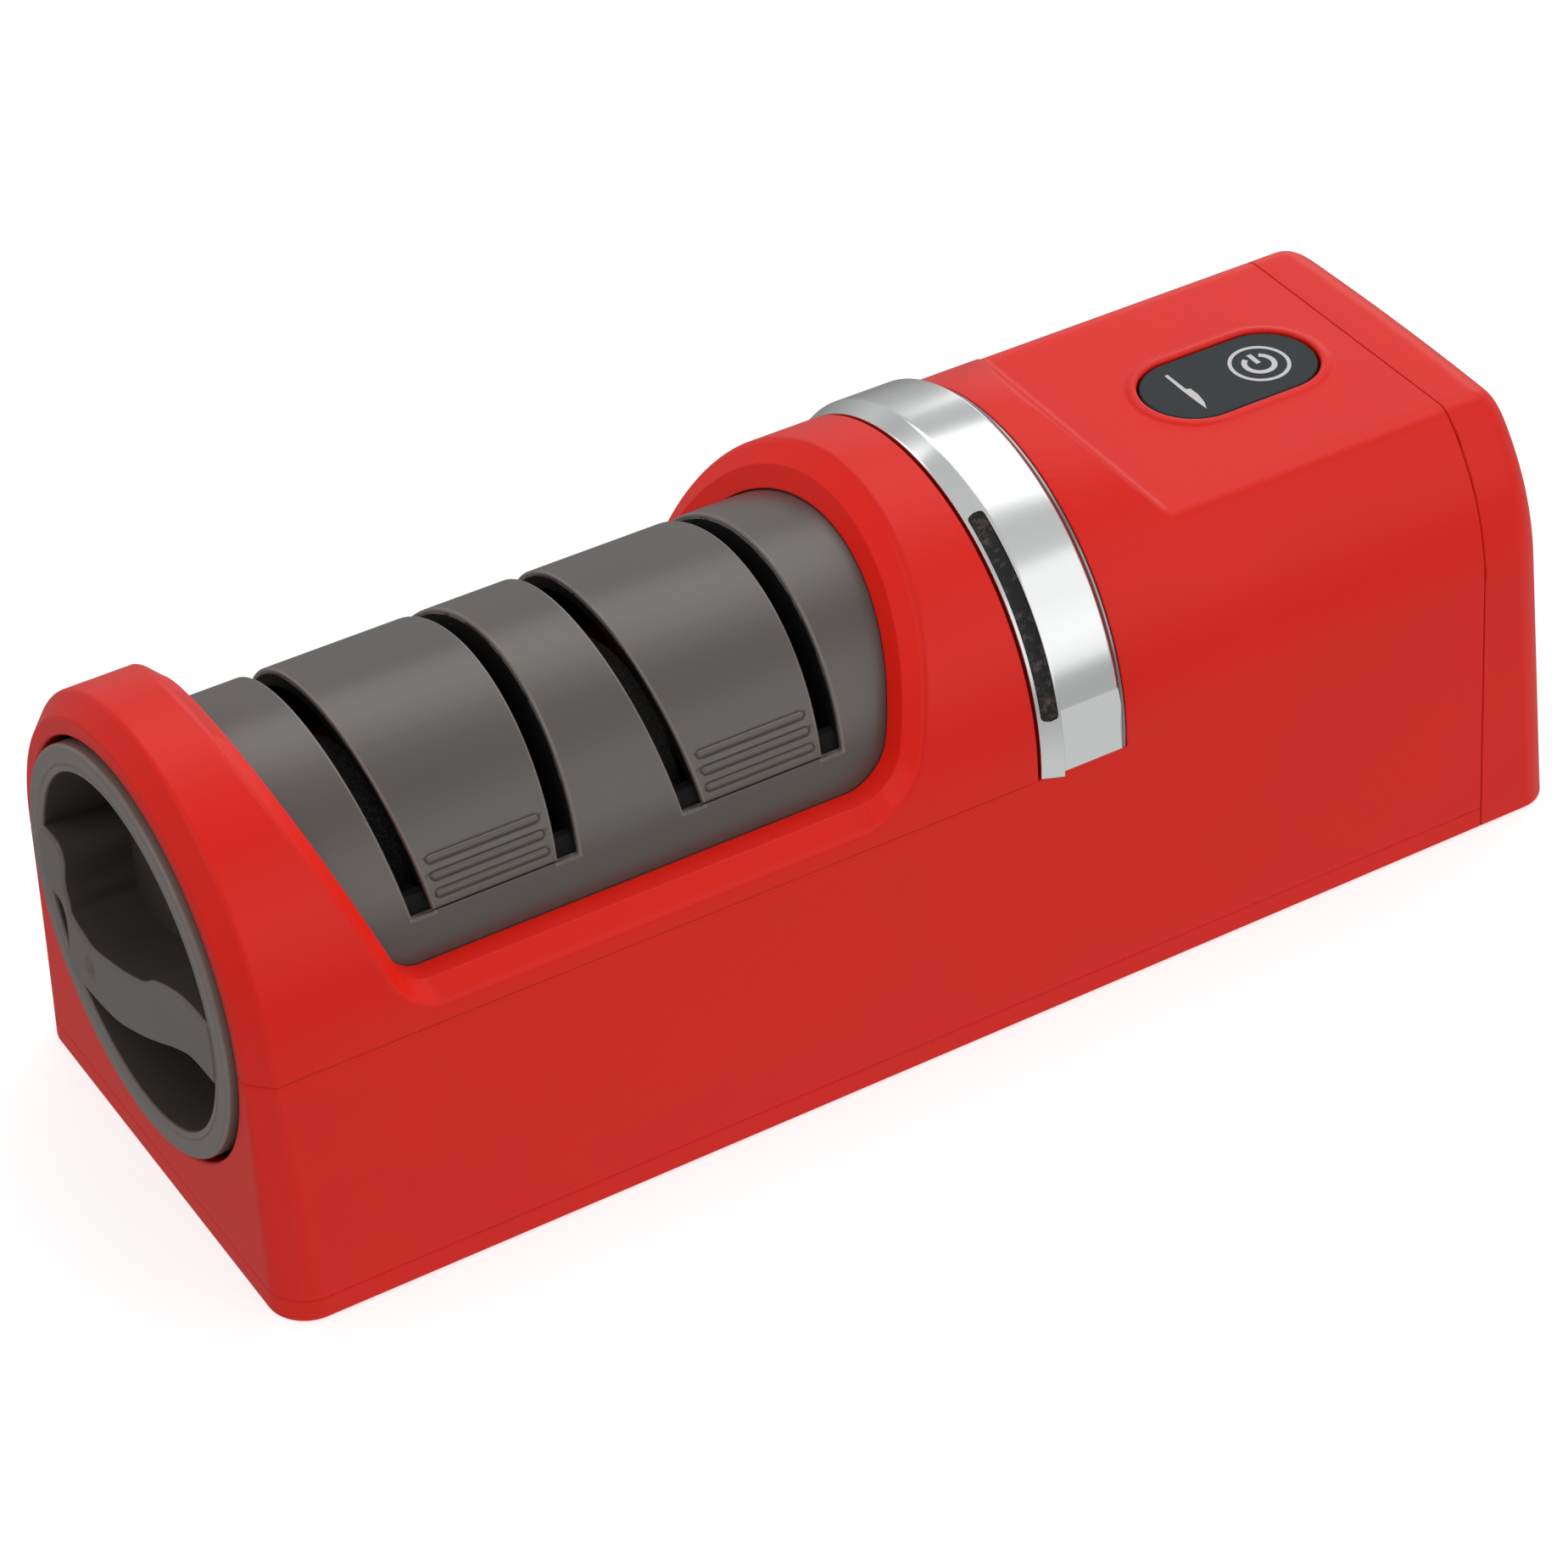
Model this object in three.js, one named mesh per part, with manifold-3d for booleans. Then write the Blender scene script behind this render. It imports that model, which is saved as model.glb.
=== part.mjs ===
// Cordless electric knife sharpener, in millimetres with +Z up.
// X runs along the body: the turning knob is in the -X end face and the rear cap closes the +X end.
// The side that faces the user is -Y. The part stands on its rubber feet at z = 0.
import * as THREE from "three";
import { mergeVertices } from "three/addons/utils/BufferGeometryUtils.js";
import Module from "manifold-3d";

// Driving dimensions. Places along the body are measured from the knob end face.
const clearance = 0.3;
const halfGap = clearance / 2;
const faceGap = 0.05;
const overrun = 6;
const roundSegments = 48;
const wheelSegments = 36;
const smallSegments = 20;
const screwSegments = 10;

// The body's zones along X: the grinding chamber, the chrome band, the deck behind it and the end cap.
const zone = { chamber: 110, band: 13.1, deck: 56.7, cap: 13.7 };
const arch = { centreZ: 36.29, radius: 32.11, hoodDrop: 5.9 };
const body = {
  footZ: 0.3,
  wall: 2.4,
  sideDraftShare: 0.077,
  footChamfer: 0.25,
  endChamfer: 2.65,
  rearFillet: 5,
  rearLeanShare: 0.06,
  rearBow: 1.2,
};
const split = { seamDrop: 0.29, plateTopZ: 3.4 };
const flat = { rise: 23.95, edgeRadius: 3.2, overlap: 9 };
// The step down to the deck, as places behind the band's rear edge and heights over the deck.
const step = { brow: 5.9, foot: 13.2, filletStart: 1.1, filletMiddle: 0.3, filletRise: 0.46, end: 15.8 };
const band = {
  strip: 1,
  seatDepth: 1.7,
  raise: 2,
  bevel: 1.3,
  rearBevelShare: 0.65,
  edge: 0.7,
  endRise: 9.11,
  seatWall: 2.9,
  spigot: 5,
};
const windowCut = {
  frontMargin: 18.9,
  rearMargin: 16.5,
  refRise: 13.71,
  floorRise: 4.21,
  slantShare: 0.36,
  leftRadius: 3,
  rightRadius: 5,
  flare: 2,
  flareDepth: 2.5,
  wellWall: 1.6,
};
const hood = { wall: 2.3, tuck: 1.4, plateRise: 6.71 };
const slot = {
  width: 2.8,
  offset: 10.4,
  shift: 0.38,
  refRise: 13.71,
  floorRise: 9.51,
  tiltShare: 0.115,
  guideWall: 1.3,
  guideDrop: 1.3,
  ledge: 1.8,
  ledgeDepth: 1.2,
};
const grip = { length: 15.5, radius: 0.55, stand: 0.35, pitchAngle: 0.081, firstAngle: 0.965, bars: 3 };
const knob = {
  centreDrop: 0.44,
  rim: 5.41,
  gap: 0.75,
  ringWidth: 3.6,
  proud: 1.1,
  dish: 0.15,
  pocketDepth: 9.3,
  floor: 1.2,
  edge: 0.5,
  barRise: 0.2,
  curveSteps: 3,
  dimpleRadius: 2.2,
  dimpleDepth: 0.5,
  pivotRadius: 4,
  pivotLength: 4.6,
};
const socket = { wall: 1.2, floor: 1.3 };
const retainer = { radius: 7, thickness: 1, standoff: 0.6 };
const wheel = {
  radius: 16.5,
  bite: 0.7,
  thickness: 3.2,
  bossRadius: 6,
  rimWidth: 4,
  rimRelief: 0.8,
};
const shaft = { radius: 3, startX: 15.3, rearMargin: 1, clip: 0.8, clipRadius: 4.6 };
const chassis = {
  startX: 14.6,
  rearMargin: 2,
  sideMargin: 13,
  floorZ: 7,
  floor: 2,
  webMargin: 1.2,
  rearWebMargin: 6,
  web: 2.5,
  webHalfWidth: 13,
  webTopRadius: 8,
  ribHeight: 3,
  ribWidth: 1.6,
};
const bearing = { radius: 6.2, flangeRadius: 7.4, flange: 1 };
const tray = { frontMargin: 9.4, rearMargin: 14, sideMargin: 4, height: 7, wall: 1 };
const motor = {
  radius: 14,
  length: 48,
  standoff: 8,
  endBell: 6,
  bossRadius: 5,
  bossLength: 1.8,
  shaftRadius: 1.6,
  flatDepth: 1,
  terminalLength: 3,
  terminalOffset: 8.4,
};
const bracket = { standoff: 3.4, thickness: 2.2, sideMargin: 8, legWidth: 4.6, archDrop: 12.29, topRadius: 17 };
const coupling = { overlap: 2.6, length: 5.2, radius: 5.4 };
const motorScrew = { spread: 8, radius: 1.4, headRadius: 2.4, head: 1.2 };
const cell = { radius: 9.25, standoff: 2.4, offsetY: 12, capRadius: 3, cap: 1 };
const cradle = { width: 3, count: 3, rimRise: 4 };
const button = {
  radius: 6.9,
  span: 11.8,
  rearMargin: 18.9,
  proud: 0.15,
  travel: 0.8,
  flange: 1.1,
  flangeWidth: 1.3,
  stemRadius: 2.2,
};
const lip = { width: 1.8, height: 0.35 };
const board = { length: 30, halfWidth: 12, thickness: 1.4, drop: 7.24, postRadius: 1.8, postInset: 3 };
const tactSwitch = { offset: 4.9, side: 6, height: 1.4, plungerRadius: 1.5, plunger: 0.3 };
const inlet = { z: 22, width: 9, height: 3.3, shell: 0.6, length: 7, tongue: 0.8 };
const foot = { radius: 5.5, recess: 1, insetX: 17, rearInsetX: 28, sideMargin: 10 };
const baseScrew = {
  insetX: 30,
  rearInsetX: 40,
  sideMargin: 8.5,
  headRadius: 3,
  head: 1.6,
  radius: 1.5,
  length: 12,
  bossRadius: 3.4,
};
const chassisScrew = { insetX: 3.6, inset: 6, headRadius: 2.6, head: 1.3, radius: 1.3, length: 4.6, bossRadius: 3.6 };
const capSpigot = { length: 3, wall: 1.6 };
const screwCross = { depthShare: 0.5, armShare: 0.5, slitShare: 0.17 };

const wasm = await Module();
wasm.setup();

// Places that follow from the zones and the arch. The sides lean in by the draft and run tangent into the arch.
const draftLength = Math.hypot(1, body.sideDraftShare);
const archZ = arch.centreZ;
const archRadius = arch.radius;
const hoodRadius = archRadius - arch.hoodDrop;
const crownZ = archZ + archRadius;
const halfWidth = archRadius * draftLength + body.sideDraftShare * archZ;
const seamZ = archZ - split.seamDrop;
const deckZ = archZ + flat.rise;
const bandEnd = zone.chamber + zone.band;
const capSeam = bandEnd + zone.deck;
const length = capSeam + zone.cap;
const windowHalf = (zone.chamber - windowCut.frontMargin - windowCut.rearMargin) / 2;
const windowCentre = windowCut.frontMargin + windowHalf;
const windowFloor = archZ + windowCut.floorRise;
const slotFloor = archZ + slot.floorRise;
const slotRefZ = archZ + slot.refRise;
const pairPlaces = [-1, 1].map((side) => windowCentre - slot.shift + (side * windowHalf) / 2);
const knobZ = archZ - knob.centreDrop;
const knobRadius = archRadius - knob.rim;
const openingRadius = knobRadius - knob.ringWidth;
const chassisEnd = zone.chamber - chassis.rearMargin;
const chassisHalf = halfWidth - chassis.sideMargin;
const frontWeb = chassis.startX + chassis.webMargin;
const rearWeb = zone.chamber - chassis.rearWebMargin;
const shaftEnd = zone.chamber - shaft.rearMargin;
const motorStart = zone.chamber + motor.standoff;
const bracketX = zone.chamber + bracket.standoff;
const cellStart = zone.chamber + cell.standoff;
const cellEnd = capSeam - capSpigot.length - clearance * 2 + cell.cap;
const buttonX = capSeam - button.rearMargin;
const switchX = buttonX + tactSwitch.offset;
const boardTop = deckZ - board.drop;
const boardStart = buttonX - board.length / 2;
const boardEnd = buttonX + board.length / 2;

// The rear face leans in and bows back at its sides, so its lowest edge reaches farthest.
const rearDip = (y, z) => body.rearLeanShare * z + body.rearBow * (y / halfWidth) ** 2;
const heelZ = body.footZ + body.footChamfer;
const heelY = halfWidth - body.rearFillet * draftLength - body.sideDraftShare * heelZ;
const rearReach = length - rearDip(heelY, heelZ);

// The part is centred on x = 0 between the knob's ring and the rear edge.
const fromEnd = (distance) => distance - (rearReach - knob.proud) / 2;

// Solid helpers: three.js geometry in, manifold-3d solid out.
function solid(geometry) {
  const bare = geometry.index ? geometry.clone() : mergeVertices(geometry);
  bare.deleteAttribute("normal");
  bare.deleteAttribute("uv");
  const merged = mergeVertices(bare, 1e-4);
  const made = new wasm.Manifold(
    new wasm.Mesh({
      numProp: 3,
      vertProperties: merged.attributes.position.array,
      triVerts: new Uint32Array(merged.index.array),
    }),
  );
  return made;
}

function box(x, y, z) {
  const geometry = new THREE.BoxGeometry(x[1] - x[0], y[1] - y[0], z[1] - z[0]);
  geometry.translate((x[0] + x[1]) / 2, (y[0] + y[1]) / 2, (z[0] + z[1]) / 2);
  return solid(geometry);
}

// A turned piece about an axis along X. The profile holds [x, radius] pairs and closes on itself.
function turned(profile, centreY, centreZ, segments = roundSegments) {
  const points = [...profile, profile[0]].map(([x, radius]) => new THREE.Vector2(radius, x));
  const geometry = new THREE.LatheGeometry(points, segments);
  geometry.rotateZ(-Math.PI / 2);
  geometry.translate(0, centreY, centreZ);
  const made = solid(geometry);
  return made.volume() < 0 ? turned([...profile].reverse(), centreY, centreZ, segments) : made;
}

const disc = (x, radius, y = 0, z = archZ, segments = roundSegments) =>
  turned([[x[0], 0], [x[0], radius], [x[1], radius], [x[1], 0]], y, z, segments);
const ring = (x, radii, z = archZ, segments = roundSegments) =>
  turned([[x[0], radii[0]], [x[0], radii[1]], [x[1], radii[1]], [x[1], radii[0]]], 0, z, segments);

// An upright round post.
function post(x, y, z, radius, segments = smallSegments) {
  const geometry = new THREE.CylinderGeometry(radius, radius, z[1] - z[0], segments);
  geometry.rotateX(Math.PI / 2);
  geometry.translate(x, y, (z[0] + z[1]) / 2);
  return solid(geometry);
}

function extruded(points, depth) {
  const shape = new THREE.Shape(points.map(([a, b]) => new THREE.Vector2(a, b)));
  return new THREE.ExtrudeGeometry(shape, { depth, bevelEnabled: false, steps: 1 });
}

// A prism along Y of an outline in X and Z.
function prismY(points, y) {
  const geometry = extruded(points, y[1] - y[0]);
  geometry.rotateX(Math.PI / 2);
  geometry.translate(0, y[1], 0);
  return solid(geometry);
}

// A prism along X of an outline in Y and Z.
function prismX(points, x) {
  const geometry = extruded(points, x[1] - x[0]);
  geometry.rotateY(Math.PI / 2);
  geometry.rotateX(Math.PI / 2);
  geometry.translate(x[0], 0, 0);
  return solid(geometry);
}

// A prism along Z of an outline in X and Y.
function prismZ(points, z) {
  const geometry = extruded(points, z[1] - z[0]);
  geometry.translate(0, 0, z[0]);
  return solid(geometry);
}

const union = (solids) => solids.reduce((all, next) => all.add(next));

// A solid through rings that hold the same number of points, closed by a fan at each end.
function loft(rings) {
  const count = rings[0].length;
  const positions = rings.flat().flatMap((p) => [p.x, p.y, p.z]);
  const index = [];
  for (let r = 0; r + 1 < rings.length; r++)
    for (let i = 0; i < count; i++) {
      const a = r * count + i;
      const b = r * count + ((i + 1) % count);
      index.push(a, b, b + count, a, b + count, a + count);
    }
  [rings[0], rings.at(-1)].forEach((ringPoints, end) => {
    const middle = ringPoints.reduce((sum, p) => sum.add(p), new THREE.Vector3()).divideScalar(count);
    const hub = positions.length / 3;
    positions.push(middle.x, middle.y, middle.z);
    const first = end ? (rings.length - 1) * count : 0;
    for (let i = 0; i < count; i++) {
      const a = first + i;
      const b = first + ((i + 1) % count);
      index.push(...(end ? [a, b, hub] : [b, a, hub]));
    }
  });
  const geometry = new THREE.BufferGeometry();
  geometry.setAttribute("position", new THREE.Float32BufferAttribute(positions, 3));
  geometry.setIndex(index);
  const made = solid(geometry);
  if (made.volume() > 0) return made;
  geometry.setIndex(index.map((_, i) => index[i - (i % 3) + (2 - (i % 3))]));
  return solid(geometry);
}

// Cross-section of the body: [y, z] points from the front foot over the crown to the rear foot.
const tangentAngle = Math.PI / 2 - Math.atan(body.sideDraftShare);
const flankSteps = 8;
const edgeSteps = 4;
const crownSteps = 16;
const steps = (from, to, count) => Array.from({ length: count }, (_, i) => from + ((to - from) * i) / count);

// The crown's points: a plain arch, or an arch cut off flat at the deck with rounded edges.
function crownPoints(inset, cutFlat) {
  const radius = archRadius - inset;
  const onArch = (angle) => [radius * Math.sin(angle), archZ + radius * Math.cos(angle)];
  const edgeRadius = Math.max(flat.edgeRadius - inset, clearance);
  const edgeZ = deckZ - inset - edgeRadius;
  const edgeY = Math.sqrt((radius - edgeRadius) ** 2 - (edgeZ - archZ) ** 2);
  const edgeAngle = Math.atan2(edgeY, edgeZ - archZ);
  if (!cutFlat)
    return [
      ...steps(-tangentAngle, -edgeAngle, flankSteps),
      ...steps(-edgeAngle, edgeAngle, edgeSteps * 2 + crownSteps),
      ...steps(edgeAngle, tangentAngle, flankSteps),
      tangentAngle,
    ].map(onArch);
  const onEdge = (side) => (angle) => [
    side * (edgeY + edgeRadius * Math.sin(angle)),
    edgeZ + edgeRadius * Math.cos(angle),
  ];
  return [
    ...steps(-tangentAngle, -edgeAngle, flankSteps).map(onArch),
    ...steps(edgeAngle, 0, edgeSteps).map(onEdge(-1)),
    ...steps(-edgeY, edgeY, crownSteps).map((y) => [y, deckZ - inset]),
    ...steps(0, edgeAngle, edgeSteps).map(onEdge(1)),
    ...steps(edgeAngle, tangentAngle, flankSteps).map(onArch),
    onArch(tangentAngle),
  ];
}

function section(inset, cutFlat, footZ) {
  const sideY = (z) => halfWidth - inset * draftLength - body.sideDraftShare * z;
  const chamferZ = footZ + body.footChamfer;
  const side = [
    [sideY(footZ) - body.footChamfer, footZ],
    [sideY(chamferZ), chamferZ],
  ];
  return [...side.map(([y, z]) => [-y, z]), ...crownPoints(inset, cutFlat), ...side.reverse()];
}

// The end face is flat out to this half width. Its corner is a chamfer round the arch and turns
// into a round one down the sides, where the draft makes it deeper.
const cornerTurnShares = [0, 0.2, 0.4, 0.6, 0.8, 1];
function frontRings(inset, footZ) {
  const faceHalf = archRadius - body.endChamfer - inset * (Math.SQRT2 - 1);
  const plain = section(inset, false, footZ);
  return cornerTurnShares.map((turnShare) => {
    const angle = (turnShare * Math.PI) / 2;
    return plain.map(([y, z]) => {
      const low = Math.min(1, Math.max(0, 1 - z / archZ));
      const reach = Math.hypot(y, Math.max(0, z - archZ));
      const depth = Math.max(reach - faceHalf, 0);
      const along = turnShare + (1 - Math.cos(angle) - turnShare) * low;
      const out = 1 - turnShare + (turnShare - Math.sin(angle)) * low;
      const scale = 1 - (depth * out) / reach;
      return new THREE.Vector3(
        fromEnd(inset + along * depth),
        y * scale,
        z > archZ ? archZ + (z - archZ) * scale : z,
      );
    });
  });
}

// The step down behind the band: the arch is cut by a lid that slopes down to the deck.
function stepLid(inset) {
  const slope = (crownZ - deckZ) / (step.foot - step.brow);
  const lean = inset * Math.tan(Math.atan(slope) / 2);
  const at = (place, z) => [fromEnd(bandEnd + place) - lean, z - inset];
  return [
    [fromEnd(-overrun), -overrun],
    [fromEnd(bandEnd + step.end + overrun), -overrun],
    [fromEnd(bandEnd + step.end + overrun), deckZ - inset],
    at(step.end, deckZ),
    at(step.foot + step.filletMiddle, deckZ + step.filletRise),
    at(step.foot - step.filletStart, deckZ + slope * step.filletStart),
    at(step.brow, crownZ),
    at(step.brow - overrun, crownZ + inset + overrun),
    [fromEnd(-overrun), crownZ + overrun * 2],
  ];
}

// The whole outer form of the body, or the form that lies an inset inside it.
function bodyForm(inset, footZ = body.footZ) {
  const isFoot = (i, ringPoints) => i === 0 || i === ringPoints.length - 1;
  const ringAt = (place, cutFlat) =>
    section(inset, cutFlat, footZ).map(([y, z]) => new THREE.Vector3(fromEnd(place), y, z));
  const front = loft([...frontRings(inset, footZ), ringAt(bandEnd + step.end - clearance, false)]);
  const fillet = body.rearFillet - inset;
  const rear = [0, 0.25, 0.5, 0.75, 1].map((turnShare) => {
    const angle = (turnShare * Math.PI) / 2;
    const x = length - inset - fillet * (1 - Math.sin(angle));
    return section(inset + fillet * (1 - Math.cos(angle)), true, footZ).map(
      ([y, z], i, ringPoints) =>
        new THREE.Vector3(
          fromEnd(x - rearDip(y, z) - (isFoot(i, ringPoints) ? body.footChamfer * turnShare : 0)),
          y,
          z,
        ),
    );
  });
  return front
    .intersect(prismY(stepLid(inset), everyY))
    .add(loft([ringAt(bandEnd + step.end - flat.overlap, true), ...rear]));
}

const everyX = [fromEnd(-overrun), fromEnd(length + overrun)];
const everyY = [-halfWidth - overrun, halfWidth + overrun];
const aboveZ = (z) => box(everyX, everyY, [z, crownZ + overrun]);
const span = (from, to) => [fromEnd(from), fromEnd(to)];

// The opening that the blade guide fills, seen from the side: it narrows downwards and has round lower corners.
const windowRadius = (grow, side) => (side < 0 ? windowCut.leftRadius : windowCut.rightRadius) + grow;
function windowEdge(z, grow, side) {
  const radius = windowRadius(grow, side);
  const rise = Math.max(0, z - windowFloor + grow);
  const corner = rise < radius ? radius - Math.sqrt(radius ** 2 - (radius - rise) ** 2) : 0;
  const reach = windowHalf + grow + windowCut.slantShare * (z - archZ - windowCut.refRise) - corner;
  return fromEnd(windowCentre + side * reach);
}

const cornerShares = [0, 0.2, 0.4, 0.6, 0.8, 1];
function windowPrism(grow) {
  const sidePoints = (side) =>
    [
      ...cornerShares.map(
        (share) => windowFloor - grow + windowRadius(grow, side) * (1 - Math.cos((share * Math.PI) / 2)),
      ),
      crownZ + overrun,
    ].map((z) => [windowEdge(z, grow, side), z]);
  return prismY([...sidePoints(1), ...sidePoints(-1).reverse()], everyY);
}

// The sloping rim round the opening, which follows the crown.
function windowFlare() {
  const level = (depth, grow) => {
    const radius = archRadius - depth;
    const limit = Math.acos((windowFloor - grow - archZ) / radius);
    return (share) => {
      const angle = limit * share;
      const z = archZ + radius * Math.cos(angle);
      return [-1, 1].map(
        (side) => new THREE.Vector3(windowEdge(z, grow, side), radius * Math.sin(angle), z),
      );
    };
  };
  const outDepth = -windowCut.flareDepth / 2;
  const slope = windowCut.flare / windowCut.flareDepth;
  const inner = level(windowCut.flareDepth, 0);
  const outer = level(outDepth, slope * (windowCut.flareDepth - outDepth));
  const halfShares = [0, 0.12, 0.24, 0.36, 0.48, 0.58, 0.67, 0.75, 0.82, 0.87, 0.91, 0.94, 0.965, 0.985, 1];
  const shares = [...halfShares.slice(1).map((share) => -share).reverse(), ...halfShares];
  return loft(
    shares.map((share) => {
      const [innerLeft, innerRight] = inner(share);
      const [outerLeft, outerRight] = outer(share);
      return [innerLeft, innerRight, outerRight, outerLeft];
    }),
  );
}

// A capsule outline in X and Y, used for the button, its hole and its lip.
function obround(grow) {
  const radius = button.radius + grow;
  const half = button.span / 2;
  const turns = 12;
  const arc = (side) =>
    Array.from({ length: turns + 1 }, (_, i) => {
      const angle = side * (Math.PI / 2) - (Math.PI * i) / turns;
      return [fromEnd(buttonX) + side * half + radius * Math.cos(angle), radius * Math.sin(angle)];
    });
  return [...arc(1), ...arc(-1)].reverse();
}

function material(color, roughness, metalness = 0) {
  return new THREE.MeshStandardMaterial({ color, roughness, metalness });
}
const sharpener = new THREE.Group();
function add(name, shape, look) {
  const raw = shape.getMesh();
  const geometry = new THREE.BufferGeometry();
  geometry.setAttribute("position", new THREE.Float32BufferAttribute(raw.vertProperties, 3));
  geometry.setIndex(new THREE.BufferAttribute(raw.triVerts, 1));
  geometry.computeVertexNormals();
  const mesh = new THREE.Mesh(geometry, look);
  mesh.name = name;
  sharpener.add(mesh);
}

const redPlastic = () => material(0xc5241e, 0.42);
const greyPlastic = () => material(0x5f5853, 0.5);
const darkPlastic = () => material(0x2a2a2c, 0.55);
const chrome = () => material(0xdadcdd, 0.12, 1);
const steel = () => material(0xa9acb0, 0.3, 1);
const rubber = () => material(0x1b1b1c, 0.85);

// Casings.
const outerForm = bodyForm(0);
const cavity = bodyForm(body.wall, body.footZ - overrun);
const shell = outerForm.subtract(cavity);
const knobHole = disc(span(-overrun, body.wall + overrun / 2), knobRadius + knob.gap, 0, knobZ);
const seatRadius = archRadius - band.seatDepth;
const coverEnd = zone.chamber - clearance + faceGap;
const inletY = [-inlet.width / 2 - clearance, inlet.width / 2 + clearance];
const inletZ = [inlet.z - inlet.height / 2 - clearance, inlet.z + inlet.height / 2 + clearance];

function frontCover() {
  const region = box(span(-overrun, coverEnd), everyY, [
    seamZ + halfGap,
    crownZ + overrun,
  ]);
  const well = windowPrism(windowCut.wellWall)
    .intersect(ring(span(0, coverEnd), [hoodRadius + clearance, archRadius - body.wall / 2]))
    .intersect(aboveZ(seamZ + halfGap));
  return shell
    .intersect(region)
    .add(well)
    .subtract(windowPrism(0))
    .subtract(windowFlare())
    .subtract(knobHole);
}

function mainHousing() {
  const keep = box(span(-overrun, capSeam - halfGap), everyY, [
    split.plateTopZ + halfGap,
    crownZ + overrun,
  ]);
  const coverSpace = box(span(-overrun, zone.chamber), everyY, [
    seamZ - halfGap,
    crownZ + overrun,
  ]);
  const groove = ring(span(zone.chamber - overrun / 2, bandEnd), [seatRadius, archRadius + overrun]);
  const spigotRadius = archRadius - body.wall - clearance;
  const seatInner = seatRadius - band.seatWall;
  const seat = turned(
    [
      [fromEnd(zone.chamber - band.spigot), seatInner],
      [fromEnd(zone.chamber - band.spigot), spigotRadius],
      [fromEnd(zone.chamber), spigotRadius],
      [fromEnd(zone.chamber), seatRadius],
      [fromEnd(bandEnd + body.wall), seatRadius],
      [fromEnd(bandEnd + body.wall), seatInner],
    ],
    0,
    archZ,
  ).intersect(aboveZ(seamZ - body.wall));
  const bossZ = [split.plateTopZ + halfGap, split.plateTopZ + baseScrew.length + body.wall];
  const bosses = baseScrewPlaces().map(([x, y]) => {
    const outside = Math.sign(y) * halfWidth;
    const ribX = [x - baseScrew.radius, x + baseScrew.radius];
    return post(x, y, bossZ, baseScrew.bossRadius)
      .add(box(ribX, [y, outside].sort((a, b) => a - b), bossZ))
      .intersect(outerForm)
      .subtract(
        post(
          x,
          y,
          [bossZ[0] - overrun, bossZ[1] - body.wall],
          baseScrew.radius + clearance,
          screwSegments,
        ),
      );
  });
  const boardPosts = boardPlaces().map(([x, y]) =>
    post(x, y, [boardTop + clearance, deckZ - body.wall / 2], board.postRadius),
  );
  const lipRing = prismZ(obround(lip.width), [deckZ - body.wall / 2, deckZ + lip.height]);
  const buttonHole = prismZ(obround(clearance), [deckZ - body.wall - overrun / 2, deckZ + overrun]);
  const rise = box(span(-overrun, length), everyY, [seamZ - halfGap, crownZ + overrun]);
  return union([
    shell.subtract(groove.intersect(rise)).add(seat),
    lipRing,
    ...bosses,
    ...boardPosts,
  ])
    .intersect(keep)
    .subtract(coverSpace.subtract(seat))
    .subtract(buttonHole)
    .subtract(knobHole);
}

function baseScrewPlaces() {
  const reach = halfWidth - baseScrew.sideMargin;
  return [baseScrew.insetX, length - baseScrew.rearInsetX].flatMap((x) =>
    [-reach, reach].map((y) => [fromEnd(x), y]),
  );
}
function boardPlaces() {
  return [boardStart + board.postInset, boardEnd - board.postInset].flatMap((x) =>
    [-1, 1].map((side) => [fromEnd(x), side * (board.halfWidth - board.postInset)]),
  );
}
function chassisScrewPlaces() {
  const reach = chassisHalf - chassisScrew.inset;
  const places = [
    chassis.startX + chassisScrew.insetX + chassis.web,
    chassisEnd - chassisScrew.insetX - chassis.web * 2,
  ];
  return places.flatMap((x) => [-reach, reach].map((y) => [fromEnd(x), y]));
}
function footPlaces() {
  const reach = halfWidth - foot.sideMargin;
  return [foot.insetX, length - foot.rearInsetX].flatMap((x) => [-reach, reach].map((y) => [fromEnd(x), y]));
}

const cellZ = split.plateTopZ + cell.radius + clearance * 2;

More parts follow.
